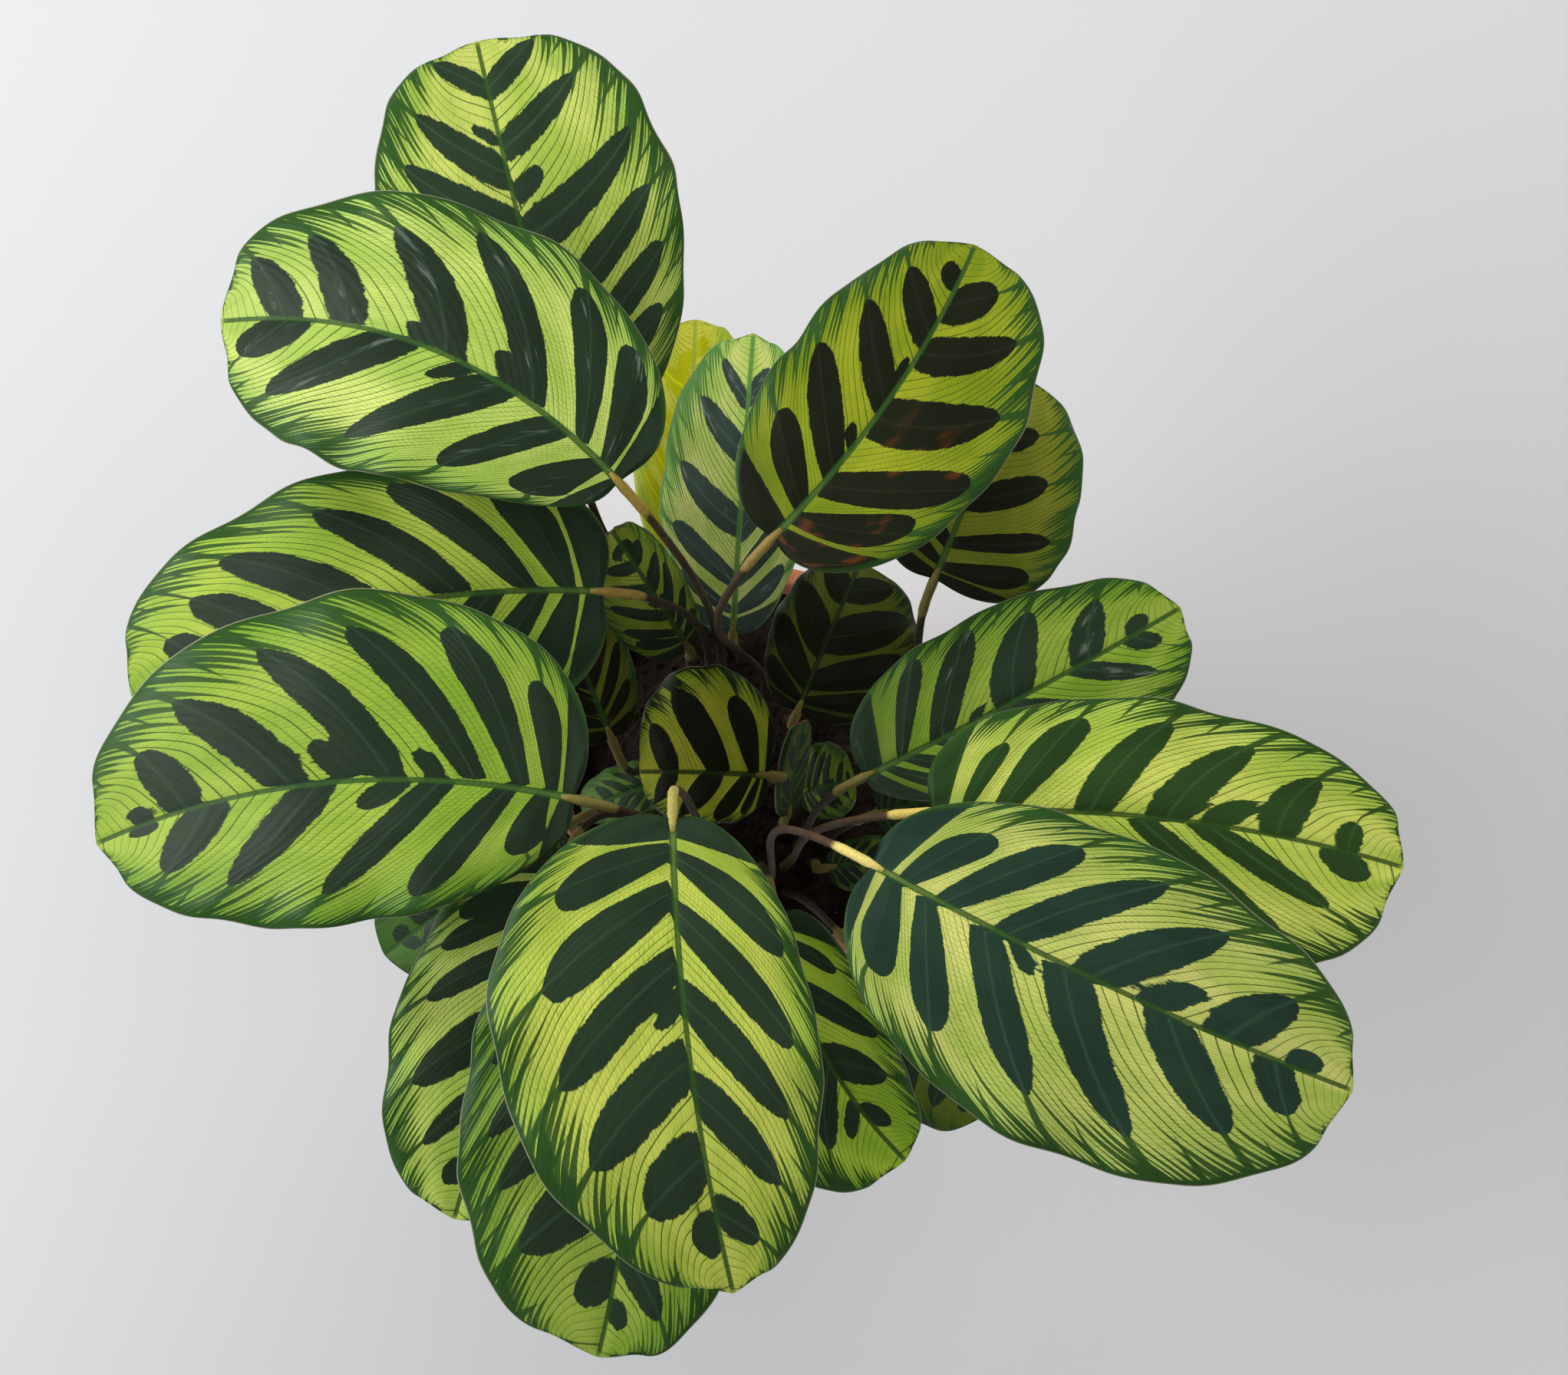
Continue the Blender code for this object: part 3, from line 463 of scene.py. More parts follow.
def make_blade(leaf, material):
    """A thin closed sheet whose mesh follows the veins, with its pattern as attributes."""
    large = max(leaf.left, leaf.right) >= LARGE_BLADE_HALF_WIDTH
    rows, half_columns = LARGE_BLADE_GRID if large else SMALL_BLADE_GRID
    t = np.linspace(0, 1, half_columns + 1 - len(RIM_STEPS))
    q = np.concatenate([RIM_START * (0.7 * t + 0.3 * t ** 1.6), RIM_STEPS])
    across_steps = np.concatenate([-q[:0:-1], q])
    columns = 2 * half_columns
    u = np.linspace(0, 1, rows + 1)
    s, v = np.meshgrid(u[:-1], across_steps, indexing="ij")
    upper, lower, _, across = blade_points(leaf, s, v)
    tip_point = blade_points(leaf, np.ones(1), np.zeros(1))[0]
    count = rows * (columns + 1)
    points = np.concatenate([upper.reshape(-1, 3), lower.reshape(-1, 3), tip_point]) * MM
    tip = 2 * count
    ids = np.arange(count).reshape(rows, columns + 1)
    a, b = ids[:-1, :-1].ravel(), ids[1:, :-1].ravel()
    c, d = ids[1:, 1:].ravel(), ids[:-1, 1:].ravel()
    top = np.stack([a, b, c, d], 1)
    bottom = np.stack([d, c, b, a], 1) + count
    last = ids[-1]
    top_tip = np.stack([last[:-1], np.full(columns, tip), last[1:]], 1)
    bottom_tip = np.stack([last[1:] + count, np.full(columns, tip), last[:-1] + count], 1)
    right_edge, left_edge, foot = ids[:, 0], ids[:, -1], ids[0]
    border = np.concatenate([right_edge[::-1], foot[1:], left_edge[1:]])
    rim = np.stack([border[:-1], border[1:], border[1:] + count, border[:-1] + count], 1)
    ends = np.array([[tip, border[0], border[0] + count], [border[-1], tip, border[-1] + count]])
    quads = np.concatenate([top, bottom, rim])
    triangles = np.concatenate([top_tip, bottom_tip, ends])
    mesh = bpy.data.meshes.new("leaf_" + leaf.name)
    mesh.from_pydata(points.tolist(), [], quads.tolist() + triangles.tolist())

    def store(name, values):
        attribute = mesh.attributes.new(name, "FLOAT", "POINT")
        attribute.data.foreach_set("value", np.asarray(values, np.float32))

    markings = leaf_markings(leaf)
    field = by_half(patch_field, markings, s, v).ravel()
    store("patch", np.concatenate([field, field, [-0.02]]))
    count_here = by_half(pleat_count, markings, s, v).ravel()
    store("pleat", np.concatenate([count_here, count_here, count_here[-1:]]))
    store("under", np.concatenate([np.zeros(count), np.ones(count), [0.5]]))
    store("across", np.concatenate([across.ravel(), across.ravel(), [0.0]]))

    loops = np.zeros(len(mesh.loops), np.int32)
    mesh.loops.foreach_get("vertex_index", loops)
    vein_s = np.concatenate([s.ravel(), s.ravel(), [1.0]])[loops]
    vein_v = np.concatenate([v.ravel(), v.ravel(), [0.0]])[loops]
    column_middle = (across_steps[:-1] + across_steps[1:]) / 2
    first = 4 * len(quads)
    vein_v[first + 1:first + 3 * columns:3] = column_middle
    second = first + 3 * columns
    vein_v[second + 1:second + 3 * columns:3] = column_middle
    vein_uv = mesh.uv_layers.new(name="vein")
    vein_uv.data.foreach_set("uv", np.stack([vein_s, vein_v], 1).ravel().astype(np.float32))
    below = (loops >= count).astype(float)
    below[first:second] = 0.0
    below[second:second + 3 * columns] = 1.0
    bake_u = 0.01 + 0.5 * below + 0.48 * (vein_v + 1) / 2
    bake_v = 0.01 + 0.93 * vein_s
    rim_first, rim_last = 4 * (len(top) + len(bottom)), first
    steps = len(rim)
    place = np.arange(steps)
    strip_u = 0.01 + 0.97 * np.stack([place, place + 1, place + 1, place], 1) / steps
    strip_v = np.tile([0.96, 0.96, 0.985, 0.985], (steps, 1))
    bake_u[rim_first:rim_last] = strip_u.ravel()
    bake_v[rim_first:rim_last] = strip_v.ravel()
    bake_u[-6:] = (0.985, 0.99, 0.99, 0.985, 0.985, 0.99)
    bake_v[-6:] = (0.960, 0.960, 0.970, 0.975, 0.985, 0.985)
    bake_uv = mesh.uv_layers.new(name="OFBake")
    bake_uv.data.foreach_set("uv", np.stack([bake_u, bake_v], 1).ravel().astype(np.float32))
    mesh.shade_smooth()
    mesh.materials.append(material)
    mesh.validate()
    blade = make_object("leaf_" + leaf.name, mesh)
    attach(blade, "root")
    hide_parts("blade_" + leaf.name)
    return blade


class Nodes:
    """Short calls for building a material from nodes."""

    def __init__(self, name, roughness):
        self.material = bpy.data.materials.new(name)
        self.material.use_nodes = True
        self.tree = self.material.node_tree
        self.shader = self.tree.nodes["Principled BSDF"]
        self.shader.inputs["Roughness"].default_value = roughness

    def put(self, socket, value):
        if isinstance(value, bpy.types.NodeSocket):
            self.tree.links.new(value, socket)
        elif hasattr(value, "__len__") and len(value) == 3 and len(socket.default_value) == 4:
            socket.default_value = (*value, 1.0)
        else:
            socket.default_value = value

    def math(self, operation, *values, clamp=False):
        node = self.tree.nodes.new("ShaderNodeMath")
        node.operation = operation
        node.use_clamp = clamp
        for socket, value in zip(node.inputs, values):
            self.put(socket, value)
        return node.outputs[0]

    def ramp(self, value, low, high, start=0.0, end=1.0, smooth=True):
        node = self.tree.nodes.new("ShaderNodeMapRange")
        node.interpolation_type = "SMOOTHSTEP" if smooth else "LINEAR"
        for name, number in (("Value", value), ("From Min", low), ("From Max", high),
                             ("To Min", start), ("To Max", end)):
            self.put(node.inputs[name], number)
        return node.outputs["Result"]

    def mix(self, factor, first, second, blend="MIX"):
        node = self.tree.nodes.new("ShaderNodeMix")
        node.data_type = "RGBA"
        node.blend_type = blend
        self.put(node.inputs[0], factor)
        self.put(node.inputs[6], first)
        self.put(node.inputs[7], second)
        return node.outputs[2]

    def attribute(self, name):
        node = self.tree.nodes.new("ShaderNodeAttribute")
        node.attribute_name = name
        return node.outputs["Fac"]

    def uv(self, name):
        node = self.tree.nodes.new("ShaderNodeUVMap")
        node.uv_map = name
        split = self.tree.nodes.new("ShaderNodeSeparateXYZ")
        self.put(split.inputs[0], node.outputs[0])
        return split.outputs[0], split.outputs[1]

    def vector(self, x=0.0, y=0.0, z=0.0):
        node = self.tree.nodes.new("ShaderNodeCombineXYZ")
        for socket, value in zip(node.inputs, (x, y, z)):
            self.put(socket, value)
        return node.outputs[0]

    def place(self):
        return self.tree.nodes.new("ShaderNodeTexCoord").outputs["Object"]

    def noise(self, vector, scale, detail=2.0, roughness=0.5):
        node = self.tree.nodes.new("ShaderNodeTexNoise")
        self.put(node.inputs["Vector"], vector)
        node.inputs["Scale"].default_value = scale
        node.inputs["Detail"].default_value = detail
        node.inputs["Roughness"].default_value = roughness
        return node.outputs["Fac"]

    def voronoi(self, vector, scale, feature="F1"):
        node = self.tree.nodes.new("ShaderNodeTexVoronoi")
        node.feature = feature
        self.put(node.inputs["Vector"], vector)
        node.inputs["Scale"].default_value = scale
        return node.outputs["Distance"]

    def bump(self, height, strength, distance):
        node = self.tree.nodes.new("ShaderNodeBump")
        node.inputs["Strength"].default_value = strength
        node.inputs["Distance"].default_value = distance
        self.put(node.inputs["Height"], height)
        self.put(self.shader.inputs["Normal"], node.outputs[0])
        return node.outputs[0]

    def see_through(self, share, colour, normal=None):
        """Light that comes through a thin sheet."""
        glow = self.tree.nodes.new("ShaderNodeBsdfTranslucent")
        self.put(glow.inputs["Color"], colour)
        if normal is not None:
            self.put(glow.inputs["Normal"], normal)
        both = self.tree.nodes.new("ShaderNodeMixShader")
        both.inputs[0].default_value = share
        self.put(both.inputs[1], self.shader.outputs[0])
        self.put(both.inputs[2], glow.outputs[0])
        self.put(self.tree.nodes["Material Output"].inputs["Surface"], both.outputs[0])


def blade_material(leaf, band, dark=DARK_PATCH, margin=MARGIN_GREEN, glow=0.14, shade=0.25, brown_blotch=0.0, scuff_and_sheen=0.0,
                   rib=0.45):
    """Shade darkens the bands towards the base, partly the leaf's own darker base and partly painted shade; stain
    adds brown blotches on the patches of the right half near the base; scar adds pale grey marks along the main veins
    of the patches, partly silvery scuffs and partly painted sheen.
    """
    n = Nodes("blade_" + leaf.name, 0.33)
    s, v = n.uv("vein")
    out = n.math("ABSOLUTE", v)
    patch, under, across = n.attribute("patch"), n.attribute("under"), n.attribute("across")
    pleat = n.attribute("pleat")
    away = n.math("ABSOLUTE", across)
    seed = leaf.phase * 7.0

    # Main veins run on from the patches, with a lesser one between each two
    from_main = n.math("PINGPONG", pleat, 0.5)
    from_lesser = n.math("SUBTRACT", 0.5, from_main)

    # Fine veins, each with its own strength
    waver = n.noise(n.vector(s, n.math("MULTIPLY", v, 0.35), seed), 9.0, 1.0)
    turned = n.math("MULTIPLY", n.math("POWER", n.math("MAXIMUM", n.math("SUBTRACT", out, 0.4), 0.0), 1.6), VEIN_TURN)
    lines = n.math("MULTIPLY_ADD", n.math("SUBTRACT", s, turned), FINE_VEINS, n.math("MULTIPLY", waver, n.ramp(s, 0.55, 0.90, 1.5, 0.3)))
    from_vein = n.math("PINGPONG", lines, 0.5)
    line_id = n.math("FLOOR", n.math("ADD", lines, 0.5))
    cell = n.noise(n.vector(line_id, n.math("SIGN", v), seed), 3.7, 0.0)
    other_cell = n.noise(n.vector(line_id, n.math("SIGN", v), seed + 9.0), 2.9, 0.0)
    jag_fine = n.noise(n.vector(n.math("MULTIPLY", s, 150.0), n.math("MULTIPLY", v, 85.0), seed), 1.0, 2.0)
    jag_wide = n.noise(n.vector(n.math("MULTIPLY", s, 30.0), n.math("MULTIPLY", v, 12.0), seed), 1.0, 1.0)
    jag = n.math("ADD", n.math("MULTIPLY", n.math("SUBTRACT", jag_fine, 0.5), 0.006),
                 n.math("MULTIPLY", n.math("SUBTRACT", jag_wide, 0.5), 0.007))
    in_patch = n.ramp(n.math("ADD", patch, jag), -0.0010, 0.0010)

    # Light strips between the veins end in fingers of uneven length before the dark margin
    reach = n.math("ADD", out, n.ramp(cell, 0.36, 0.64, -0.15, 0.11))
    reach = n.math("ADD", reach, n.ramp(from_main, 0.22, 0.0, 0.0, 0.05))
    reach = n.math("ADD", reach, n.ramp(s, 0.90, 0.985, 0.0, 0.40))
    line_width = n.math("ADD", n.ramp(out, 0.30, 0.80, 0.062, 0.085), n.ramp(reach, 0.72, 0.99, 0.0, 0.44, False))
    line_width = n.math("ADD", line_width, n.math("MULTIPLY", n.math("SUBTRACT", jag_fine, 0.5), 0.06))
    strength = n.math("ADD", n.ramp(other_cell, 0.35, 0.62, 0.55, 1.0), n.ramp(reach, 0.76, 0.86), clamp=True)
    strength = n.math("MULTIPLY", strength, n.ramp(s, 0.97, 0.86, 0.45, 1.0))
    on_vein = n.math("MULTIPLY", n.ramp(n.math("SUBTRACT", line_width, from_vein), -0.025, 0.03), strength)
    main_width = n.ramp(out, 0.45, 0.98, 0.010, 0.060)
    lesser_width = n.ramp(out, 0.60, 0.98, -0.02, 0.042)
    on_main = n.ramp(n.math("SUBTRACT", main_width, from_main), -0.014, 0.010)
    on_lesser = n.ramp(n.math("SUBTRACT", lesser_width, from_lesser), -0.014, 0.010)
    on_broad = n.math("MAXIMUM", on_main, on_lesser)
    in_margin = n.ramp(n.math("ADD", reach, n.math("MULTIPLY", jag_fine, 0.03)), 0.975, 1.0)
    in_margin = n.math("MAXIMUM", in_margin, n.ramp(out, 0.955, 0.975))

    # Cross veins are short ticks between neighbouring fine veins
    strip = n.noise(n.vector(n.math("FLOOR", lines), n.math("SIGN", v), seed), 5.3, 0.0)
    ticks = n.math("MULTIPLY_ADD", v, 44.0, n.math("MULTIPLY", strip, 9.0))
    ticks = n.math("ADD", ticks, n.math("MULTIPLY", jag_fine, 0.5))
    on_tick = n.ramp(n.math("PINGPONG", ticks, 0.5), 0.09, 0.02)
    netting = n.noise(n.vector(n.math("MULTIPLY", s, 70.0), n.math("MULTIPLY", v, 210.0), seed), 1.0, 2.0)
    tint = n.noise(n.vector(n.math("MULTIPLY", s, 5.0), n.math("MULTIPLY", v, 2.0), seed), 1.0, 2.0)

    paler = (min(1.0, band[0] * 1.22), min(1.0, band[1] * 1.12), band[2] * 1.3)
    deeper = (band[0] * 0.74, band[1] * 0.84, band[2] * 0.62)
    bands = n.mix(n.ramp(tint, 0.32, 0.68), deeper, paler)
    # Darker bands towards the base: partly the leaf's own darker base, partly painted shade, strongest on leaves that
    # lie in shade
    bands = n.mix(n.ramp(s, 0.62, 0.12, 0.0, shade), bands, (band[0] * 0.18, band[1] * 0.24, band[2] * 0.15))
    bands = n.mix(n.ramp(out, 0.60, 0.95, 0.0, 0.50), bands, (band[0] * 0.50, band[1] * 0.72, band[2] * 0.6))
    bands = n.mix(n.math("MULTIPLY", on_tick, 0.42), bands, VEIN_GREEN)
    bands = n.mix(n.ramp(netting, 0.50, 0.66, 0.0, 0.24), bands, VEIN_GREEN)
    line_colour = n.mix(n.ramp(out, 0.55, 0.90), VEIN_GREEN, margin)
    colour = n.mix(n.math("MULTIPLY", on_vein, 0.94), bands, line_colour)
    colour = n.mix(n.math("MULTIPLY", on_broad, 0.95), colour, margin)
    colour = n.mix(in_margin, colour, margin)
    streak = n.math("MULTIPLY", n.ramp(from_main, 0.035, 0.005), n.ramp(s, 0.30, 0.40, 0.0, 0.5))
    patch_lines = n.math("MULTIPLY", n.ramp(from_vein, 0.06, 0.0), 0.28)
    patch_colour = n.mix(n.ramp(tint, 0.35, 0.65), dark, tuple(c * 1.35 for c in dark))
    patch_colour = n.mix(n.math("MAXIMUM", streak, patch_lines), patch_colour, tuple(c * 2.6 for c in dark))
    patch_colour = n.mix(n.ramp(out, 0.80, 0.97), patch_colour, margin)
    # Brown blotches on the patches of the right half, towards the base
    if brown_blotch:
        blotch = n.noise(n.vector(n.math("MULTIPLY", s, 9.0), n.math("MULTIPLY", v, 3.5), seed), 1.0, 3.0)
        on_right = n.math("MULTIPLY", n.ramp(v, -0.02, -0.10), n.ramp(s, 0.75, 0.60))
        spread = n.math("MULTIPLY", n.ramp(blotch, 0.56, 0.70), on_right)
        patch_colour = n.mix(n.math("MULTIPLY", spread, brown_blotch), patch_colour, BLOTCH_BROWN)
    # Pale grey marks along the main veins of the patches: partly silvery scuffs, partly painted sheen
    if scuff_and_sheen:
        scuff_and_sheen_noise = n.noise(n.vector(n.math("MULTIPLY", s, 70.0), n.math("MULTIPLY", v, 3.5), seed), 1.0, 3.0, 0.6)
        spread = n.math("MULTIPLY", n.ramp(scuff_and_sheen_noise, 0.57, 0.70), n.ramp(from_main, 0.16, 0.04))
        patch_colour = n.mix(n.math("MULTIPLY", spread, scuff_and_sheen), patch_colour, SCUFF_AND_SHEEN_GREY)
    colour = n.mix(in_patch, colour, patch_colour)
    rib_side = n.ramp(s, 0.95, 0.1, 0.75, 1.35)
    beside = n.math("MULTIPLY", n.ramp(n.math("SUBTRACT", away, rib_side), 0.25, -0.15), n.ramp(s, 0.995, 0.96, 0.0, 0.9))
    colour = n.mix(beside, colour, margin)
    rib_width = n.ramp(s, 0.85, 0.0, 0.35, 0.85)
    on_rib = n.ramp(n.math("SUBTRACT", away, rib_width), 0.15, -0.25)
    on_rib = n.math("MULTIPLY", on_rib, n.ramp(s, 0.80, 0.05, 0.05, rib))
    colour = n.mix(on_rib, colour, RIB_GREEN)
    colour = n.mix(n.ramp(out, 0.992, 0.998), colour, RIM_PALE)

    below = n.mix(in_patch, UNDER_LIGHT, UNDER_DARK)
    below = n.mix(n.math("MULTIPLY", n.math("MAXIMUM", on_vein, on_broad), 0.5), below, UNDER_DARK)
    below = n.mix(n.ramp(away, 1.6, 0.8), below, (0.20, 0.10, 0.07))
    shown = n.mix(n.ramp(under, 0.4, 0.6), colour, below)
    n.put(n.shader.inputs["Base Color"], shown)
    rough = n.ramp(in_patch, 0.0, 1.0, 0.40, 0.36)
    rough = n.math("SUBTRACT", rough, n.ramp(out, 0.85, 0.97, 0.0, 0.10))
    n.put(n.shader.inputs["Roughness"], n.math("ADD", rough, n.math("MULTIPLY", tint, 0.06)))
    n.shader.inputs["IOR"].default_value = 1.42
    n.shader.inputs["Specular IOR Level"].default_value = 0.15
    relief = n.math("ADD", n.math("MULTIPLY", from_vein, 1.2), n.math("MULTIPLY", netting, 0.4))
    relief = n.math("SUBTRACT", relief, n.math("MULTIPLY", on_tick, 0.15))
    normal = n.bump(relief, 0.30, 0.0004)
    n.see_through(glow, n.mix(0.5, shown, band), normal)
    return n.material


def stalk_line(leaf):
    """Foot, soil point, the curve from the soil to the joint, and a point running on under the midrib."""
    base, forward, left, normal = leaf_frame(leaf, 0.0)
    tilt = math.radians(JOINT_TILT)
    arrive = forward * math.cos(tilt) + normal * math.sin(tilt)
    end_gap = TOUCH_GAP + (STALK_RADIUS + JOINT_EXTRA_RADIUS) * math.sin(tilt)
    end = base - normal * MIDRIB_THICKNESS / 2 - forward * end_gap
    root = np.array([leaf.root[0], leaf.root[1], SOIL_AT_STALKS])
    out = (base - root) * (1, 1, 0)
    spread = np.linalg.norm(out)
    swing = math.radians(leaf.swing)
    turned = np.array([out[0] * math.cos(swing) - out[1] * math.sin(swing),
                       out[0] * math.sin(swing) + out[1] * math.cos(swing), 0.0])
    slant = leaf.lean * min(1.0, spread / 30) / max(spread, 1e-6)
    upward = unit(UP + turned * slant)
    start = root + STALK_STRAIGHT * upward
    size = np.linalg.norm(end - root)
    pulls = (start, start + upward * leaf.rise * size, end - arrive * leaf.reach * size, end)
    count = int(np.clip(round(size / STALK_POINT_GAP), 4, STALK_POINTS))
    u = np.linspace(0, 1, count)[:, None]
    weights = ((1 - u) ** 3, 3 * u * (1 - u) ** 2, 3 * u ** 2 * (1 - u), u ** 3)
    curve = sum(w * p for w, p in zip(weights, pulls))
    joint_start = end - arrive * JOINT_LENGTH * 0.75
    curve[-2] = 0.5 * (curve[-2] + joint_start)
    foot = root - STALK_FOOT_DEPTH * upward
    onward = end + forward * 5.0 + normal * 0.25
    return np.vstack([foot, root, curve, onward])


def smooth_line(points, steps):
    """Evenly spaced points on a smooth curve through the given ones."""
    ends = np.vstack([2 * points[0] - points[1], points, 2 * points[-1] - points[-2]])
    pieces = []
    for i in range(len(points) - 1):
        p0, p1, p2, p3 = ends[i:i + 4]
        t = np.linspace(0, 1, 16, endpoint=False)[:, None]
        pieces.append(0.5 * (2 * p1 + (p2 - p0) * t + (2 * p0 - 5 * p1 + 4 * p2 - p3) * t ** 2
                             + (3 * p1 - p0 - 3 * p2 + p3) * t ** 3))
    line = np.vstack(pieces + [points[-1:]])
    travelled = np.concatenate([[0.0], np.cumsum(np.linalg.norm(np.diff(line, axis=0), axis=1))])
    wanted = np.linspace(0, travelled[-1], steps + 1)
    return np.stack([np.interp(wanted, travelled, line[:, k]) for k in range(3)], 1), wanted


def tube(line, radii, sides):
    """Ring points of a tube along a line, and the outward direction at each."""
    forward = unit(np.gradient(line, axis=0))
    side = np.cross(forward[0], (1.0, 0.3, 0.0))
    rings, outs = [], []
    turn = np.linspace(0, 2 * math.pi, sides, endpoint=False)[:, None]
    for point, ahead, radius in zip(line, forward, radii):
        side = unit(side - ahead * np.dot(side, ahead))
        other = np.cross(ahead, side)
        out = np.cos(turn) * side + np.sin(turn) * other
        rings.append(point + out * radius)
        outs.append(out)
    return np.array(rings), np.array(outs)


def make_stem(leaf, material):
    """A stalk with its swollen, hairy joint, running on under the midrib."""
    line, travelled = smooth_line(stalk_line(leaf), STEM_STEPS)
    to_blade = travelled[-1] - 5.0 - travelled
    radii = STALK_RADIUS + STALK_FOOT_EXTRA * np.clip(1 - travelled / STALK_TAPER_LENGTH, 0, 1) ** 1.2
    radii = radii * 0.97
    into = np.clip((JOINT_LENGTH + 1.5 - to_blade) / 3.0, 0, 1)
    into = into * into * (3 - 2 * into)
    radii = radii + (STALK_RADIUS + JOINT_EXTRA_RADIUS - radii) * into
    radii = radii * (1 - 0.06 * into * np.sin(np.clip(to_blade, 0, JOINT_LENGTH) / JOINT_LENGTH * math.pi) ** 4)
    radii = np.where(to_blade < 0, radii * np.clip(1 + to_blade / 9.0, 0.4, 1), radii)
    rings, outs = tube(line, radii, STEM_SIDES)
    rows = len(rings)
    points = rings.reshape(-1, 3)
    faces = []
    for r in range(rows - 1):
        for c in range(STEM_SIDES):
            d = (c + 1) % STEM_SIDES
            faces.append((r * STEM_SIDES + c, r * STEM_SIDES + d, (r + 1) * STEM_SIDES + d, (r + 1) * STEM_SIDES + c))
    faces.append(tuple(range(STEM_SIDES))[::-1])
    faces.append(tuple((rows - 1) * STEM_SIDES + c for c in range(STEM_SIDES)))
    to_blade_all = np.repeat(to_blade, STEM_SIDES)
    hair = np.zeros(len(points))
    rng = np.random.default_rng(7 + sum(map(ord, leaf.name)))
    hair_points, hair_faces, hair_reach = [], [], []
    length = travelled[-1]
    for _ in range(HAIRS_PER_STEM):
        back = 40.0 * rng.random() ** 1.6
        r = int(np.clip((length - 5.0 - back) / length * STEM_STEPS, 1, rows - 2))
        c = rng.integers(STEM_SIDES)
        foot = rings[r, c] + (rings[r + 1, c] - rings[r, c]) * rng.random()
        lean = outs[r, c] + rng.normal(0, 0.35, 3)
        top = foot + unit(lean) * HAIR_LENGTH * rng.uniform(0.5, 1.1)
        side = unit(np.cross(lean, (0.3, 0.2, 1.0))) * 0.045
        other = unit(np.cross(lean, side)) * 0.045
        first = len(points) + len(hair_points)
        hair_points += [foot + side, foot - 0.5 * side + other, foot - 0.5 * side - other, top]
        hair_faces += [(first, first + 1, first + 3), (first + 1, first + 2, first + 3),
                       (first + 2, first, first + 3), (first, first + 2, first + 1)]
        hair_reach += [back] * 4
    points = np.vstack([points, hair_points]) * MM
    mesh = bpy.data.meshes.new("stem_" + leaf.name)
    mesh.from_pydata(points.tolist(), [], faces + hair_faces)
    for name, values in (("to_blade", np.concatenate([to_blade_all, hair_reach])),
                         ("hair", np.concatenate([hair, np.ones(len(hair_points))]))):
        attribute = mesh.attributes.new(name, "FLOAT", "POINT")
        attribute.data.foreach_set("value", values.astype(np.float32))
    mesh.shade_smooth()
    mesh.materials.append(material)
    stem = make_object("stem_" + leaf.name, mesh)
    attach(stem, "root")
    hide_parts("stalk_" + leaf.name)
    return stem


def stem_material(name, joint, upper, lower):
    """Joint colour next to the blade, then the stalk's colour, darker towards the soil."""
    n = Nodes("stem_" + name, 0.62)
    to_blade, hair = n.attribute("to_blade"), n.attribute("hair")
    place = n.place()
    blotch = n.noise(place, 260.0, 3.0)
    fibre = n.noise(place, 900.0, 2.0)
    start = n.math("ADD", to_blade, n.math("MULTIPLY", n.math("SUBTRACT", blotch, 0.5), 5.0))
    stalk = n.mix(n.ramp(to_blade, 20.0, 120.0), upper, lower)
    stalk = n.mix(n.ramp(blotch, 0.35, 0.7, 0.0, 0.6), stalk, tuple(c * 0.45 for c in upper))
    swollen = n.mix(n.ramp(fibre, 0.3, 0.7), tuple(c * 0.8 for c in joint), joint)
    colour = n.mix(n.ramp(start, JOINT_LENGTH - 1.0, JOINT_LENGTH + 2.0), swollen, stalk)
    colour = n.mix(n.math("MULTIPLY", hair, 0.5), colour, (0.30, 0.26, 0.15))
    n.put(n.shader.inputs["Base Color"], colour)
    n.shader.inputs["Specular IOR Level"].default_value = 0.16
    n.bump(n.math("ADD", n.math("MULTIPLY", fibre, 0.5), blotch), 0.25, 0.0004)
    return n.material


def rounded(profile, radii, steps=5):
    """A profile with its corners rounded."""
    points = [profile[0]]
    for i in range(1, len(profile) - 1):
        before, corner, after = (np.array(profile[k], float) for k in (i - 1, i, i + 1))
        reach = min(radii[i], 0.45 * np.linalg.norm(before - corner), 0.45 * np.linalg.norm(after - corner))
        start = corner + unit(before - corner) * reach
        end = corner + unit(after - corner) * reach
        for k in range(steps + 1):
            t = k / steps
            points.append(tuple((1 - t) ** 2 * start + 2 * t * (1 - t) * corner + t ** 2 * end))
    points.append(profile[-1])
    return points


def finer(profile, step):
    points = [np.array(profile[0], float)]
    for end in profile[1:]:
        start, end = points[-1], np.array(end, float)
        parts = max(1, int(np.linalg.norm(end - start) / step))
        points += [start + (end - start) * k / parts for k in range(1, parts + 1)]
    return np.array(points)


def turned_mesh(name, profile, sides, shape=None):
    """A body turned from a profile that starts and ends on the axis."""
    turn = np.linspace(0, 2 * math.pi, sides, endpoint=False)
    radius = profile[1:-1, 0][:, None]
    height = profile[1:-1, 1][:, None] + 0 * turn
    radius = radius + 0 * turn
    if shape is not None:
        radius, height = shape(radius, height, turn)
    points = np.stack([radius * np.cos(turn), radius * np.sin(turn), height], -1)
    rows = len(points)
    count = rows * sides
    everything = np.vstack([points.reshape(-1, 3), [(0, 0, profile[0][1])], [(0, 0, profile[-1][1])]]) * MM
    faces = []
    for r in range(rows - 1):
        for c in range(sides):
            d = (c + 1) % sides
            faces.append((r * sides + c, (r + 1) * sides + c, (r + 1) * sides + d, r * sides + d))
    for c in range(sides):
        d = (c + 1) % sides
        faces.append((count, c, d))
        faces.append((count + 1, (rows - 1) * sides + d, (rows - 1) * sides + c))
    mesh = bpy.data.meshes.new(name)
    mesh.from_pydata(everything.tolist(), [], faces)
    mesh.shade_smooth()
    return mesh


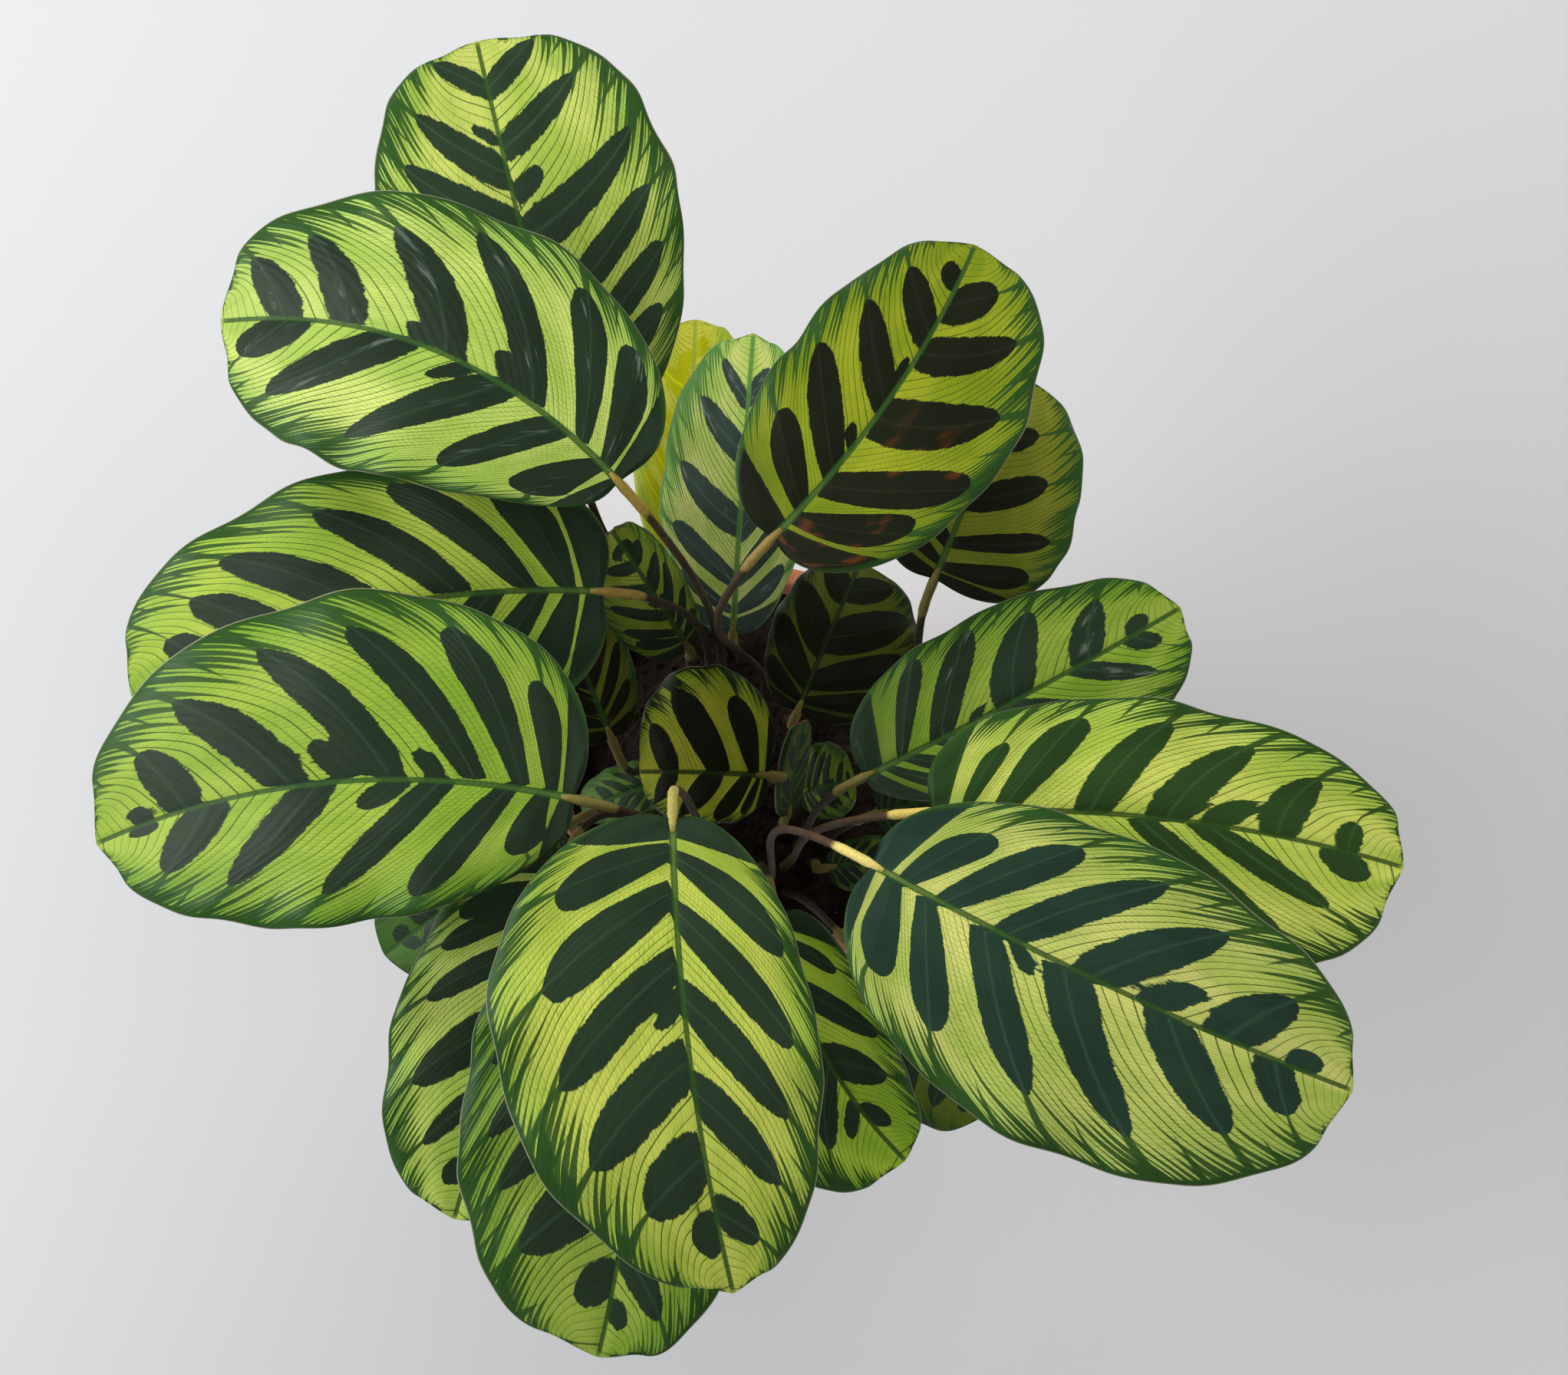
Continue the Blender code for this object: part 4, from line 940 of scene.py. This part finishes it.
def pot_material():
    n = Nodes("terracotta", 0.86)
    place = n.place()
    split = n.tree.nodes.new("ShaderNodeSeparateXYZ")
    n.put(split.inputs[0], place)
    height = split.outputs[2]
    cloud = n.noise(place, 22.0, 4.0, 0.6)
    speck = n.noise(place, 700.0, 3.0, 0.7)
    bloom_noise = n.noise(place, 38.0, 5.0, 0.65)
    clay = n.mix(n.ramp(cloud, 0.3, 0.7), (0.33, 0.115, 0.052), (0.46, 0.185, 0.090))
    clay = n.mix(n.ramp(speck, 0.58, 0.72, 0.0, 0.45), clay, (0.56, 0.34, 0.22))
    clay = n.mix(n.ramp(speck, 0.36, 0.26, 0.0, 0.35), clay, (0.16, 0.055, 0.03))
    low = n.ramp(height, 0.075, 0.0, 0.0, 0.5)
    high = n.ramp(height, 0.100, 0.140, 0.0, 0.22)
    bloom = n.math("MULTIPLY", n.ramp(bloom_noise, 0.48, 0.72), n.math("ADD", low, high))
    clay = n.mix(bloom, clay, (0.62, 0.52, 0.44))
    n.put(n.shader.inputs["Base Color"], clay)
    n.shader.inputs["Specular IOR Level"].default_value = 0.25
    rings = n.math("SINE", n.math("MULTIPLY", height, 2600.0))
    relief = n.math("ADD", n.math("MULTIPLY", rings, 0.25), speck)
    n.bump(relief, 0.4, 0.0006)
    return n.material


def make_pot():
    inner_top = POT_RIM_RADIUS - POT_WALL - 2.0
    inner_foot = POT_FOOT_RADIUS - POT_WALL
    band_foot = POT_HEIGHT - POT_BAND_HEIGHT
    corners = (
        (0.0, POT_FLOOR),
        (inner_foot, POT_FLOOR),
        (inner_top, POT_HEIGHT),
        (POT_RIM_RADIUS, POT_HEIGHT),
        (POT_RIM_RADIUS - 1.5, band_foot),
        (POT_BODY_TOP_RADIUS - 1.5, band_foot),
        (POT_FOOT_RADIUS, 0.0),
        (0.0, 0.0),
    )
    profile = rounded(corners, (0, 2.0, 1.9, 1.9, 1.6, 1.0, 1.5, 0))

    def thrown(radius, height, turn):
        wave = np.sin(height * 0.55 + 0.6 * np.sin(turn)) * np.clip(height / 10, 0, 1)
        outer = radius > POT_FOOT_RADIUS - 1
        below_band = outer & (height < band_foot - 2) & (height > 3)
        return radius - np.where(below_band, 0.12 + 0.12 * wave, 0.0), height

    mesh = turned_mesh("clay_pot", finer(profile, 3.0), 128, thrown)
    pot = make_object("clay_pot", mesh)
    build = bmesh.new()
    for i in range(DRAIN_HOLES):
        turn = 2 * math.pi * (i + 0.5) / DRAIN_HOLES
        made = bmesh.ops.create_cone(build, cap_ends=True, segments=28, radius1=DRAIN_HOLE_RADIUS * MM,
                                     radius2=DRAIN_HOLE_RADIUS * MM, depth=16 * MM)
        shift = Vector((DRAIN_RING_RADIUS * math.cos(turn), DRAIN_RING_RADIUS * math.sin(turn), 3.0)) * MM
        bmesh.ops.translate(build, verts=made["verts"], vec=shift)
    drill_mesh = bpy.data.meshes.new("drill")
    build.to_mesh(drill_mesh)
    build.free()
    drill = make_object("drill", drill_mesh)
    boolean = pot.modifiers.new("holes", "BOOLEAN")
    boolean.operation = "DIFFERENCE"
    boolean.object = drill
    bpy.context.view_layer.update()
    drilled = bpy.data.meshes.new_from_object(pot.evaluated_get(bpy.context.evaluated_depsgraph_get()))
    pot.modifiers.clear()
    pot.data = drilled
    bpy.data.objects.remove(drill, do_unlink=True)
    pot.data.materials.clear()
    pot.data.materials.append(pot_material())
    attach(pot, "root")
    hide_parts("pot")


def soil_material():
    n = Nodes("potting_soil", 0.95)
    place = n.place()
    lump = n.voronoi(place, 420.0)
    grain = n.noise(place, 900.0, 4.0, 0.7)
    cloud = n.noise(place, 60.0, 3.0)
    colour = n.mix(n.ramp(cloud, 0.3, 0.7), (0.008, 0.005, 0.003), (0.020, 0.013, 0.008))
    colour = n.mix(n.ramp(grain, 0.55, 0.75, 0.0, 0.6), colour, (0.050, 0.032, 0.020))
    pale = n.attribute("pale")
    colour = n.mix(pale, colour, (0.16, 0.14, 0.11))
    n.put(n.shader.inputs["Base Color"], colour)
    n.shader.inputs["Specular IOR Level"].default_value = 0.2
    n.bump(n.math("ADD", lump, grain), 0.8, 0.0012)
    return n.material


def make_soil():
    """Crumbly soil with loose crumbs, in the room that the solid fills."""
    rng = np.random.default_rng(11)
    wall_radius = 72.2
    rings = 64
    sides = 180
    radius = np.linspace(0.5, wall_radius, rings)[:, None] + np.zeros(sides)
    turn = np.linspace(0, 2 * math.pi, sides, endpoint=False)
    x, y = radius * np.cos(turn), radius * np.sin(turn)
    height = np.interp(radius, (0, 28, 52, wall_radius), (SOIL_TOP, SOIL_TOP - 1, SOIL_AT_STALKS, SOIL_AT_WALL))
    for scale, size in ((0.09, 0.7), (0.27, 0.55), (0.8, 0.45)):
        for _ in range(4):
            way = rng.uniform(0, 2 * math.pi)
            phase = rng.uniform(0, 6)
            pull = scale * rng.uniform(0.7, 1.3)
            height = height + size * 0.5 * np.sin(pull * 3 * (x * math.cos(way) + y * math.sin(way)) + phase)
    height = np.minimum(height - 1.0 + rng.normal(0, 0.25, height.shape), SOIL_TOP - 0.2)
    top = np.stack([x, y, height], -1)
    low_radius = 54.0
    low = np.stack([low_radius * np.cos(turn), low_radius * np.sin(turn), np.full(sides, POT_FLOOR + 0.6)], -1)
    points = np.vstack([top.reshape(-1, 3), low, [(0, 0, height[0].mean())], [(0, 0, POT_FLOOR + 0.6)]])
    faces = []
    for r in range(rings - 1):
        for c in range(sides):
            d = (c + 1) % sides
            faces.append((r * sides + c, (r + 1) * sides + c, (r + 1) * sides + d, r * sides + d))
    edge = (rings - 1) * sides
    foot = rings * sides
    for c in range(sides):
        d = (c + 1) % sides
        faces.append((edge + c, foot + c, foot + d, edge + d))
        faces.append((foot + sides, c, d))
        faces.append((foot + sides + 1, foot + d, foot + c))
    pale = np.zeros(len(points))
    corners = unit(np.array([(1, 1, 1), (1, -1, -1), (-1, 1, -1), (-1, -1, 1), (0, 0, 1.4), (0, 0, -1.4)], float))
    sides_of_crumb = ((0, 4, 2), (0, 3, 4), (4, 3, 2), (0, 1, 5), (5, 1, 2), (5, 2, 3), (0, 5, 3), (0, 2, 1))
    extra, extra_faces, extra_pale = [], [], []
    for i in range(700):
        reach = wall_radius * 0.97 * math.sqrt(rng.random())
        angle = rng.uniform(0, 2 * math.pi)
        spot = np.array([reach * math.cos(angle), reach * math.sin(angle), 0.0])
        spot[2] = np.interp(reach, (0, 28, 52, wall_radius),
                            (SOIL_TOP, SOIL_TOP - 1, SOIL_AT_STALKS, SOIL_AT_WALL)) - 0.6
        size = rng.uniform(0.6, 1.9)
        crumb = corners * size * rng.uniform(0.55, 1.1, (6, 3))
        first = len(points) + len(extra)
        extra += list(spot + crumb)
        extra_faces += [tuple(first + k for k in face) for face in sides_of_crumb]
        extra_pale += [0.75 * (rng.random() < 0.06)] * 6
    mesh = bpy.data.meshes.new("potting_soil")
    mesh.from_pydata((np.vstack([points, extra]) * MM).tolist(), [], faces + extra_faces)
    attribute = mesh.attributes.new("pale", "FLOAT", "POINT")
    attribute.data.foreach_set("value", np.concatenate([pale, extra_pale]).astype(np.float32))
    mesh.shade_smooth()
    mesh.materials.append(soil_material())
    soil = make_object("potting_soil", mesh)
    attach(soil, "root")
    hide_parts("soil")


def make_camera():
    tilt = math.radians(CAMERA_ELEVATION)
    target = Vector(CAMERA_TARGET)
    data = bpy.data.cameras.new("camera")
    data.sensor_fit = "HORIZONTAL"
    data.sensor_width = 36.0
    data.lens = FOCAL_PIXELS / PHOTO_WIDTH * 36.0
    data.clip_start = 0.02
    data.clip_end = 30.0
    camera = bpy.data.objects.new("camera", data)
    bpy.context.scene.collection.objects.link(camera)
    camera.location = target + CAMERA_DISTANCE * Vector((0.0, -math.cos(tilt), math.sin(tilt)))
    camera.rotation_euler = (target - camera.location).to_track_quat("-Z", "Y").to_euler()
    bpy.context.scene.camera = camera


def make_light(name, place, aim, size, power, colour, glossy=True):
    data = bpy.data.lights.new(name, "AREA")
    data.shape = "RECTANGLE"
    data.size, data.size_y = size
    data.energy = power
    data.color = colour
    light = bpy.data.objects.new(name, data)
    light.visible_glossy = glossy
    bpy.context.scene.collection.objects.link(light)
    light.location = place
    light.rotation_euler = (Vector(aim) - Vector(place)).to_track_quat("-Z", "Y").to_euler()


def make_studio():
    mesh = bpy.data.meshes.new("floor")
    build = bmesh.new()
    bmesh.ops.create_grid(build, x_segments=24, y_segments=24, size=4.0)
    build.to_mesh(mesh)
    build.free()
    floor = make_object("floor", mesh)
    n = Nodes("floor", 0.9)
    cloud = n.noise(n.place(), 1.2, 2.0)
    n.put(n.shader.inputs["Base Color"], n.mix(cloud, (0.50, 0.50, 0.505), (0.54, 0.54, 0.545)))
    mesh.materials.append(n.material)
    world = bpy.data.worlds.new("studio")
    bpy.context.scene.world = world
    world.use_nodes = True
    sky = world.node_tree.nodes["Background"]
    sky.inputs[0].default_value = (0.92, 0.96, 1.0, 1.0)
    sky.inputs[1].default_value = 0.34
    make_light("window", (-1.45, 0.10, 1.00), (0, 0, 0.28), (1.2, 1.0), 34.0, (0.96, 0.98, 1.0))
    make_light("back_fill", (0.05, 1.25, 1.35), (0, 0, 0.28), (1.4, 1.0), 21.0, (1.0, 0.99, 0.96), False)
    make_light("side_fill", (1.45, -0.45, 0.85), (0, 0, 0.28), (1.2, 0.9), 11.5, (1.0, 0.98, 0.95), False)
    bpy.context.scene.view_settings.view_transform = "Standard"
    bpy.context.scene.view_settings.look = "None"


# Greyer, paler patch colour of centre_back: painted light, as that leaf lies in the shade of the leaves above it
PAINTED_LIGHT_GREY_PATCH = (0.048, 0.078, 0.060)
STEM_COLOURS = {
    "front_right": ((0.66, 0.54, 0.16), (0.075, 0.045, 0.022), (0.05, 0.04, 0.016)),
    "right": ((0.60, 0.46, 0.11), (0.075, 0.045, 0.020), (0.05, 0.04, 0.016)),
    "front": ((0.36, 0.31, 0.08), (0.060, 0.042, 0.016), (0.04, 0.04, 0.016)),
    "upper_left": ((0.24, 0.17, 0.03), (0.034, 0.024, 0.009), (0.03, 0.026, 0.009)),
    "left_back": ((0.22, 0.15, 0.03), (0.024, 0.016, 0.007), (0.02, 0.018, 0.007)),
    "upper_right": ((0.22, 0.15, 0.04), (0.040, 0.024, 0.010), (0.03, 0.02, 0.009)),
}
USUAL_STEM = ((0.17, 0.14, 0.035), (0.030, 0.020, 0.009), (0.025, 0.02, 0.009))
# Per-leaf looks hold painted light and painted shade: shaded patches, dark margins and strong base shade on the
# leaves that lie in shade; brighter patches and margins on centre_back and right, and on young_back on top of its own
# paler colour of a young leaf, paint the light that falls on or through them
BLADE_LOOKS_WITH_PAINTED_LIGHT = {
    "young_back": {"dark": (0.52, 0.55, 0.010), "margin": (0.50, 0.62, 0.08), "glow": 0.45, "shade": 0.0},
    "centre_back": {"dark": PAINTED_LIGHT_GREY_PATCH, "margin": (0.14, 0.34, 0.08), "glow": 0.05, "shade": 0.0, "scuff_and_sheen": 0.8,
                    "rib": 1.4},
    "upper_left": {"dark": DEEP_PATCH, "scuff_and_sheen": 0.28, "shade": 0.1},
    "left": {"dark": DEEP_PATCH},
    "left_back": {"dark": DEEP_PATCH},
    "right_back": {"shade": 0.6, "scuff_and_sheen": 0.3},
    "upper_right": {"dark": SHADED_PATCH, "shade": 0.65, "brown_blotch": 0.75},
    "upper_right_under": {"dark": SHADED_PATCH, "shade": 0.5},
    "centre_right": {"dark": SHADED_PATCH, "margin": (0.010, 0.022, 0.006), "shade": 0.6},
    "centre": {"dark": SHADED_PATCH, "margin": (0.014, 0.034, 0.008), "shade": 0.35},
    "right": {"dark": (0.020, 0.052, 0.013), "glow": 0.25, "rib": 0.9},
    "front_right": {"dark": (0.014, 0.034, 0.020), "rib": 0.9},
    "front": {"rib": 0.8},
    "left_shaded": {"dark": SHADED_PATCH, "shade": 0.6, "brown_blotch": 0.5},
}

make_camera()
make_studio()
make_pot()
make_soil()
for leaf in LEAVES:
    make_blade(leaf, blade_material(leaf, BAND_COLOURS_WITH_PAINTED_LIGHT[leaf.name], **BLADE_LOOKS_WITH_PAINTED_LIGHT.get(leaf.name, {})))
    make_stem(leaf, stem_material(leaf.name, *STEM_COLOURS.get(leaf.name, USUAL_STEM)))
